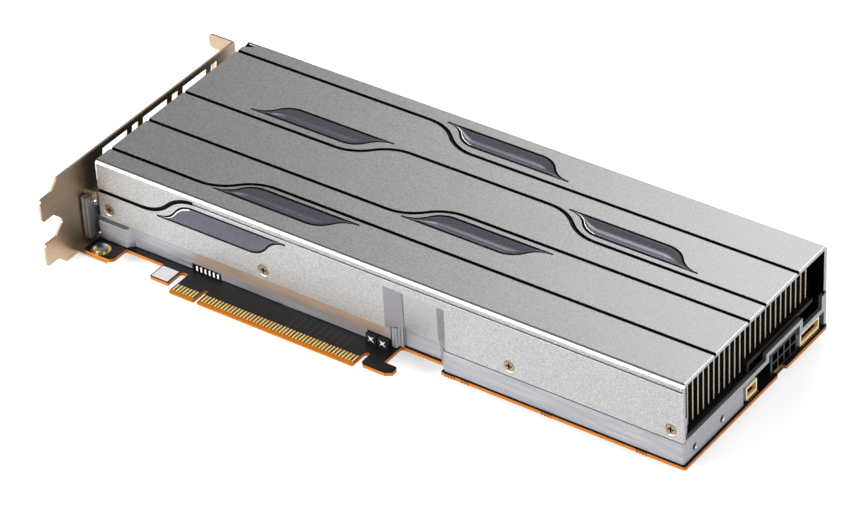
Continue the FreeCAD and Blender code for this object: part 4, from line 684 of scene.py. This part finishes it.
@dataclass
class Chassis:
    """Frame, bracket and the screws that hold them.

    Sizes are in millimetres. The mouth's spans are measured from the frame's rear end and
    from its back.
    """

    # Painted warm reflection of the gold contacts, low on the front wall.
    warm_run: Span = (-12.0, 78.0)
    warm_reach: Span = (0.2, 3.5)
    warm_rise: Span = (3.4, 15.0)
    warm_fade: float = 3.0
    # Painted shade inside the rear mouth.
    mouth_floor_run: Span = (-60.0, -1.6)
    mouth_floor_start: float = 3.0
    mouth_floor_low: float = -2.0
    mouth_side_run: Span = (-60.0, 1.0)
    mouth_side_reach: Span = (-5.0, -0.6)
    mouth_side_low: float = 14.2
    over: float = 1.0
    # Painted shade in the screws' cross recesses.
    cross_start: float = 0.25
    cross_end: float = 0.6
    # Colours of the painted shade and of the painted warm reflection.
    unlit: str = "#0c0c0e"
    warm_reflection: str = "#a58b74"

    def dress(self) -> None:
        """Give the frame, the bracket, the fasteners and the backplate their metals."""
        self.dress_frame()
        self.dress_bracket()
        self.dress_screws()

    def dress_frame(self) -> None:
        """Give the frame its milled aluminium, with painted shade inside the rear mouth and a painted warm
        reflection low on the front wall.
        """
        high = millimetres("base_frame")[1]
        front = millimetres("top_cover")[0].y
        side_reach = near(high.y, self.mouth_side_reach)
        # Fine-milled aluminium: smoother than the cover, with long soft reflections, and a painted
        # warm reflection of the gold contacts low on the front wall.
        Finish("milled aluminium", "#aeaeb4", "#949499", 0.8, 0.82, 0.44, 0.05, 0.004, Grain.ALONG_X,
               cloud=0.15, zones=(
                   Zone(self.warm_reflection, x=self.warm_run, y=near(front, self.warm_reach), z=self.warm_rise,
                        soft=self.warm_fade),
                   # Painted shade on the floor and side of the rear mouth.
                   Zone(self.unlit, x=near(high.x, self.mouth_floor_run),
                        y=(front + self.mouth_floor_start, side_reach[1]),
                        z=(self.mouth_floor_low, high.z + self.over)),
                   Zone(self.unlit, x=near(high.x, self.mouth_side_run), y=side_reach,
                        z=(self.mouth_side_low, high.z + self.over)),
               )).dress("base_frame")

    def dress_bracket(self) -> None:
        """Give the steel plates their plating and the backplate its powder coat."""
        # Nickel-plated cold-rolled steel: warm grey, satin, with cloudy plating.
        Finish("nickel plated steel", "#cab49c", "#b5a089", 0.35, 0.95, 0.42, 0.04, 0.003,
               Grain.ALONG_Y, cloud_mm=16.0, cloud=0.35).dress("io_bracket", "clamp_plate", "stiffener_ring")
        # Black powder-coated aluminium sheet: dull, with a fine orange peel.
        Finish("powder coated sheet", "#1c1c1e", "#121214", 0.5, 0.0, 0.55, 0.08, 0.02).dress("backplate")

    def dress_screws(self) -> None:
        """Give the fasteners their steels."""
        front, back = millimetres("top_cover")[0].y, millimetres("base_frame")[1].y
        # Passivated screw steel: pale brown turned heads, with black painted shade in the cross recesses.
        Finish("passivated screw steel", "#b3a189", "#8a7860", 0.3, 1.0, 0.3, zones=(
            Zone("#120e0a", y=(front + self.cross_start, back - self.cross_end)),)).dress("cover_screws")
        # Passivated steel of the hidden fasteners: a darker copy of the screw steel in painted shade, golden
        # brown with a soft sheen.
        Finish("passivated steel", "#a08a6c", "#5f4d36", 0.3, 1.0, 0.3).dress(
            "backplate_screws", "clamp_screws", "backplate_spacers")
        # Bright zinc-plated screw steel: a nearly clear mirror.
        Finish("bright plated screw steel", "#e6e4e0", "#b6b4b0", 0.3, 1.0, 0.16, 0.04).dress(
            "bracket_board_screw", "bracket_side_screw")


@dataclass
class Board:
    """Circuit board with its contacts, chips, label and connectors.

    Sizes are in millimetres. The chips' terminals are measured from the chip's front,
    foot and top.
    """

    hatch_before: float = 0.3
    hatch_pitch: float = 1.5
    hatch_gap: float = 0.62
    gap: str = "#2a1507"
    skin: Span = (-0.02, 0.02)
    traces_run: Span = (38.0, 66.0)
    traces_reach: Span = (6.6, 13.0)
    trace_from: float = 38.6
    trace_pitch: float = 3.1
    trace_wide: float = 0.45
    mask_edge: Span = (-0.26, 0.0)
    row_count: int = 6
    chip_wide: float = 1.2
    terminal_wide: float = 0.85
    terminal_proud: float = 0.12
    terminal_wrap: float = 0.3
    terminal_foot: float = 0.55
    terminal_cap: float = 0.06
    rounding: float = 0.05
    # Painted four-pointed glint on each chip of the pair.
    pair_side: float = 4.7
    star_points: int = 4
    star_reach: float = 1.85
    star_waist: float = 0.5
    star_peak: float = 0.45
    star_proud: float = 0.02
    leg_wide: float = 0.3
    leg_pitch: float = 1.25
    leg_run: float = 0.9
    leg_inside: float = 0.1
    leg_margin: float = 1.0
    leg_lift: float = 0.02
    leg_short: float = 0.05
    # Painted amber light in the headers' wells, and painted shade on their tops short of the front.
    well_rim: float = 0.45
    well_front: float = 0.15
    lit_front: float = 1.0
    over: float = 1.0

    def dress(self) -> None:
        """Give the board and each part on it its own finish."""
        self.dress_board()
        self.dress_processor()
        self.dress_parts()
        self.dress_headers()

    def dress_board(self) -> None:
        """Give the board its mask and bare edges, and its contacts their gold."""
        low, high = millimetres("edge_contacts")
        # The gaps between the contacts are too fine to show, so they are drawn half as far
        # apart again, and wider, on the contacts and on the board between them.
        hatch = (low.x - self.hatch_before, self.hatch_pitch, self.hatch_gap)
        fingers = {"x": (low.x, high.x), "y": (low.y, high.y), "z": self.skin}
        # Black solder mask over glass-epoxy: satin black, with the laminate showing on every cut edge.
        Finish("black solder mask", "#17171b", "#0c0c0f", 0.6, 0.0, 0.5, 0.08, 0.01,
               cloud=0.4, specular=0.22, zones=(
                   Zone("#d9bd7a", **fingers),
                   Zone(self.gap, **fingers, every=hatch),
                   Zone("#34343c", x=self.traces_run, y=self.traces_reach, z=self.skin,
                        every=(self.trace_from, self.trace_pitch, self.trace_wide)),
                   Zone("#bd6c10", facing_z=(-0.97, 0.97)),
                   Zone("#0d0a08", z=self.mask_edge, facing_z=(-0.9, 0.9)),
               )).dress("circuit_board")
        GOLD.dress("screw_pad")
        # The same gold on the flat contacts, with painted light: a paler, brighter yellow where they lie
        # towards the light.
        replace(GOLD, name="hard gold plating of the contacts", light="#fff0ac", dark="#f4d67e",
                zones=(Zone(self.gap, every=hatch),)).dress("edge_contacts")

    def dress_processor(self) -> None:
        """Give the processor's layers their finishes."""
        # Green glass-epoxy carrier of the processor: satin, faintly mottled.
        Finish("organic laminate", "#1f3a26", "#16301d", 0.6, 0.0, 0.5).dress("processor_substrate")
        # Lapped silicon: dark and nearly mirror-like.
        Finish("polished silicon", "#4a4a50", "#3c3c42", 2.0, 0.8, 0.12).dress(
            "processor_die", "memory_stacks")
        # Pressed-out paste: dull grey, slightly uneven.
        Finish("thermal paste", "#9a9a9a", "#808080", 1.0, 0.0, 0.6, bump_mm=0.05).dress("thermal_paste")

    def dress_parts(self) -> None:
        """Give the small parts and the label their finishes."""
        EPOXY.dress("power_stages", "control_chips", "edge_chip_row", "edge_chip_pair")
        # Pressed iron powder: dull dark grey, grainy.
        Finish("pressed ferrite", "#3a3a3d", "#2a2a2c", 0.4, 0.2, 0.6, bump_mm=0.02).dress("inductors")
        # Filled silicone: soft dull grey-blue.
        Finish("silicone thermal pad", "#8a8f96", "#767b82", 0.8, 0.0, 0.7, bump_mm=0.02).dress(
            "thermal_pads")
        # Drawn aluminium can: bright, with soft highlights.
        Finish("drawn aluminium can", "#c9c9cc", "#aaaaae", 0.4, 1.0, 0.3).dress("bulk_capacitors")
        # Coated label paper: clean white with a soft sheen.
        Finish("label paper", "#ffffff", "#f7f7f4", 0.3, 0.0, 0.5).dress("board_label")

    def dress_headers(self) -> None:
        """Give the three headers and their pins their plastics and metals."""
        # Glass-filled nylon, moulded black: the rims of its cells facing the open end get a painted bluish
        # highlight.
        Finish("black moulded nylon", "#121215", "#0a0a0c", 0.3, 0.0, 0.42, 0.06, 0.01, specular=0.3,
               zones=(Zone("#1e1e28", facing_x=STRAIGHT_ALONG),)).dress("power_header")
        for name in ("sensor_header", "signal_header"):
            low, high = millimetres(name)
            well = {"y": (low.y + self.well_rim, high.y - self.well_rim),
                    "z": (low.z + self.well_rim, high.z - self.well_rim)}
            # Natural nylon, moulded: a warm cream rim, a well painted a bright amber that stands for the
            # light off its gold pins, and painted shade on the top.
            Finish(f"cream moulded nylon of {name}", "#fff3d2", "#efdfb4", 0.4, 0.0, 0.4, 0.05, 0.01,
                   zones=(
                       Zone("#f5cb7c", x=(low.x - self.over, high.x - self.well_front), **well),
                       Zone("#191a1d", x=(low.x - self.over, high.x - self.lit_front),
                            facing_z=STRAIGHT_ALONG),
                   )).dress(name)
        # Gold-flashed brass: the pins glint in the wells.
        Finish("gold flashed pins", "#ffd987", "#d9a548", 0.3, 1.0, 0.28).dress(
            "power_header_pins", "sensor_header_pins", "signal_header_pins")

    def build(self) -> None:
        """Build the chips' terminals, the painted glints on the chip pair and the headers' legs."""
        self.build_terminals()
        self.build_glints()
        for name in ("sensor_header", "signal_header"):
            self.build_legs(name)

    def build_terminals(self) -> None:
        """Build the bright terminal on the front of each chip of the row."""
        low, high = millimetres("edge_chip_row")
        pitch = (high.x - low.x - self.chip_wide) / (self.row_count - 1)
        form = bmesh.new()
        for index in range(self.row_count):
            middle = low.x + self.chip_wide / 2 + index * pitch
            block(form,
                  Vector((middle - self.terminal_wide / 2, low.y - self.terminal_proud,
                          low.z + self.terminal_foot)),
                  Vector((middle + self.terminal_wide / 2, low.y + self.terminal_wrap,
                          high.z + self.terminal_cap)),
                  self.rounding)
        piece("chip_terminals", form, (TIN,))

    def build_glints(self) -> None:
        """Build a painted glint on the front of each chip of the pair: a bright four-pointed star."""
        low, high = millimetres("edge_chip_pair")
        form = bmesh.new()
        for middle in (low.x + self.pair_side / 2, high.x - self.pair_side / 2):
            centre = Vector((middle, low.y - self.star_proud, (low.z + high.z) / 2))
            tip = form.verts.new((centre - Vector((0.0, self.star_peak, 0.0))) * MM)
            ring = []
            for step in range(2 * self.star_points):
                turn = math.pi / self.star_points * step
                reach = self.star_reach if step % 2 else self.star_waist
                arm = Vector((reach * math.cos(turn), 0.0, reach * math.sin(turn)))
                ring.append(form.verts.new((centre + arm) * MM))
            for step, corner in enumerate(ring):
                form.faces.new((corner, ring[(step + 1) % len(ring)], tip))
            form.faces.new(ring)
        piece("pair_glints", form, (TIN,))

    def build_legs(self, name: str) -> None:
        """Build the comb of legs between a cream header and the board's end.

        Args:
            name: Name of the header's node.
        """
        low, high = millimetres(name)
        reach = min(high.x + self.leg_run, millimetres("circuit_board")[1].x - self.leg_short)
        count = int((high.y - low.y - self.leg_margin) / self.leg_pitch) + 1
        first = (low.y + high.y - (count - 1) * self.leg_pitch) / 2
        form = bmesh.new()
        for index in range(count):
            middle = first + index * self.leg_pitch
            block(form,
                  Vector((high.x - self.leg_inside, middle - self.leg_wide / 2, low.z + self.leg_lift)),
                  Vector((reach, middle + self.leg_wide / 2, low.z + self.leg_wide)), self.rounding)
        piece(f"{name}_legs", form, (GOLD,))


@dataclass
class HeatSink:
    """Base plate and fins, whose ends show in the cover's open end."""

    fin_end: str = "#b8ad9c"
    # Painted shade on the base's end face.
    base_end_shade: str = "#060504"

    def dress(self) -> None:
        """Give the base its painted shade and the fins painted shade on their sides, with their pale cut
        edges.
        """
        # Sheared aluminium sheet: painted shade on the sides in the stack, pale sheared edges.
        Finish("sheared aluminium fins", "#262422", "#1b1918", 0.6, 0.3, 0.5,
               zones=(Zone(self.fin_end, facing_x=STRAIGHT_ALONG),)).dress("heatsink_fins")
        # Copper base in painted shade: nearly black with reddish blooms, and its end face painted black as
        # shade.
        Finish("copper in painted shade", "#22150f", "#0c0807", 1.6, 0.4, 0.55, cloud_mm=6.0, cloud=0.5,
               specular=0.3, zones=(Zone(self.base_end_shade, facing_x=STRAIGHT_ALONG),)).dress("heatsink_base")


@dataclass(frozen=True)
class Softbox:
    """Soft lamp on a stand; places are in metres and its power in watts."""

    name: str
    at: tuple[float, float, float]
    aim: tuple[float, float, float]
    width: float
    height: float
    power: float

    def build(self) -> None:
        """Hang the lamp, hidden from the camera but not from the metal."""
        lamp = bpy.data.lights.new(self.name, "AREA")
        lamp.shape = "RECTANGLE"
        lamp.size, lamp.size_y = self.width, self.height
        lamp.energy = self.power
        stand = bpy.data.objects.new(self.name, lamp)
        stand.location = self.at
        way = Vector(self.aim) - Vector(self.at)
        stand.rotation_euler = way.to_track_quat("-Z", "Y").to_euler()
        stand.visible_camera = False
        bpy.context.scene.collection.objects.link(stand)


@dataclass
class Studio:
    """Floor, world, lamps and camera; angles are in degrees and places in metres.

    The focal share is the focal length over the frame's width.
    """

    floor_half: float = 6.0
    floor_drop: float = 0.0001
    floor_colour: str = "#f2f2f2"
    floor_roughness: float = 0.9
    floor_lift: float = 0.6
    world_strength: float = 0.27
    azimuth: float = 37.008
    elevation: float = 35.925
    roll: float = -3.125
    distance: float = 1.42692
    focal_share: float = 3867.5 / 852.0
    sensor_mm: float = 36.0
    sight: Span = (0.05, 50.0)
    aside: float = -0.010457
    up: float = -0.004584
    aim: tuple[float, float, float] = (0.0749, 0.06255, 0.0176)
    softboxes: tuple[Softbox, ...] = (
        Softbox("key softbox", (-0.36, 1.3, 1.05), (0.1, 0.06, 0.02), 0.6, 0.9, 5.8),
        Softbox("front softbox", (-0.66, -1.2, 0.36), (0.03, 0.04, 0.02), 0.36, 0.4, 28.0),
        Softbox("end softbox", (1.6, -0.05, 0.5), (0.2, 0.06, 0.02), 0.7, 0.7, 13.0),
    )

    def build(self) -> None:
        """Lay the floor, light it and set the camera."""
        self.lay_floor()
        self.light_world()
        for softbox in self.softboxes:
            softbox.build()
        self.set_camera()

    def lay_floor(self) -> None:
        """Lay a plain pale floor under the lowest point of the card."""
        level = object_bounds()[0][2] - self.floor_drop
        half = self.floor_half
        mesh = bpy.data.meshes.new("floor")
        corners = [(-half, -half, level), (half, -half, level), (half, half, level), (-half, half, level)]
        mesh.from_pydata(corners, [], [(0, 1, 2, 3)])
        floor = bpy.data.objects.new("floor", mesh)
        bpy.context.scene.collection.objects.link(floor)
        mesh.materials.append(self.floor_paper())
        floor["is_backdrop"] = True

    def floor_paper(self) -> bpy.types.Material:
        """Build the floor's paper, which looks white to the camera and in the metal.

        Returns:
            The floor's material, which keeps the card's shadow.
        """
        # Matt paper: it gives no highlight, and its lift brings it near white where it is seen.
        made = bpy.data.materials.new("matt floor paper")
        made.use_nodes = True
        tree = made.node_tree
        shader = tree.nodes["Principled BSDF"]
        shader.inputs["Base Color"].default_value = linear(self.floor_colour)
        shader.inputs["Roughness"].default_value = self.floor_roughness
        path = put(tree, "ShaderNodeLightPath")
        seen = put(tree, "ShaderNodeMath", {"operation": "MAXIMUM"},
                   {0: path.outputs["Is Camera Ray"], 1: path.outputs["Is Glossy Ray"]})
        seen = put(tree, "ShaderNodeMath", {"operation": "MAXIMUM"},
                   {0: seen.outputs[0], 1: path.outputs["Is Transmission Ray"]})
        lift = put(tree, "ShaderNodeMath", {"operation": "MULTIPLY", 1: self.floor_lift},
                   {0: seen.outputs[0]})
        glow = put(tree, "ShaderNodeEmission", None, {"Strength": lift.outputs[0]})
        both = put(tree, "ShaderNodeAddShader", None, {0: shader.outputs[0], 1: glow.outputs[0]})
        tree.links.new(both.outputs[0], tree.nodes["Material Output"].inputs["Surface"])
        return made

    def light_world(self) -> None:
        """Fill the room with soft light."""
        world = bpy.data.worlds.new("studio")
        bpy.context.scene.world = world
        world.use_nodes = True
        back = world.node_tree.nodes["Background"]
        back.inputs["Color"].default_value = linear("#ffffff")
        back.inputs["Strength"].default_value = self.world_strength

    def set_camera(self) -> None:
        """Place the camera on its line of sight to the card."""
        turn, tilt = math.radians(self.azimuth), math.radians(self.elevation)
        back = Vector((math.sin(turn) * math.cos(tilt), -math.cos(turn) * math.cos(tilt), math.sin(tilt)))
        right = Vector((math.cos(turn), math.sin(turn), 0.0))
        above = back.cross(right)
        roll = math.radians(self.roll)
        across = right * math.cos(roll) + above * math.sin(roll)
        upward = above * math.cos(roll) - right * math.sin(roll)
        data = bpy.data.cameras.new("camera")
        data.sensor_width = self.sensor_mm
        data.lens = self.focal_share * data.sensor_width
        data.clip_start, data.clip_end = self.sight
        camera = bpy.data.objects.new("camera", data)
        turned = Matrix((across, upward, back)).transposed().to_4x4()
        place = Vector(self.aim) + back * self.distance + across * self.aside + upward * self.up
        camera.matrix_world = Matrix.Translation(place) @ turned
        bpy.context.scene.collection.objects.link(camera)
        bpy.context.scene.camera = camera
        bpy.context.scene.view_settings.view_transform = "Standard"


def main() -> None:
    """Dress the card part by part, build the small pieces, then build the studio."""
    logging.basicConfig(level=logging.INFO, format="%(name)s: %(message)s")
    for assembly in (Cover(), Chassis(), Board(), HeatSink()):
        assembly.dress()
        LOG.info("%s dressed", type(assembly).__name__)
    for assembly in (Cover(), Board()):
        assembly.build()
        LOG.info("%s built", type(assembly).__name__)
    Studio().build()


if __name__ == "__main__":
    main()
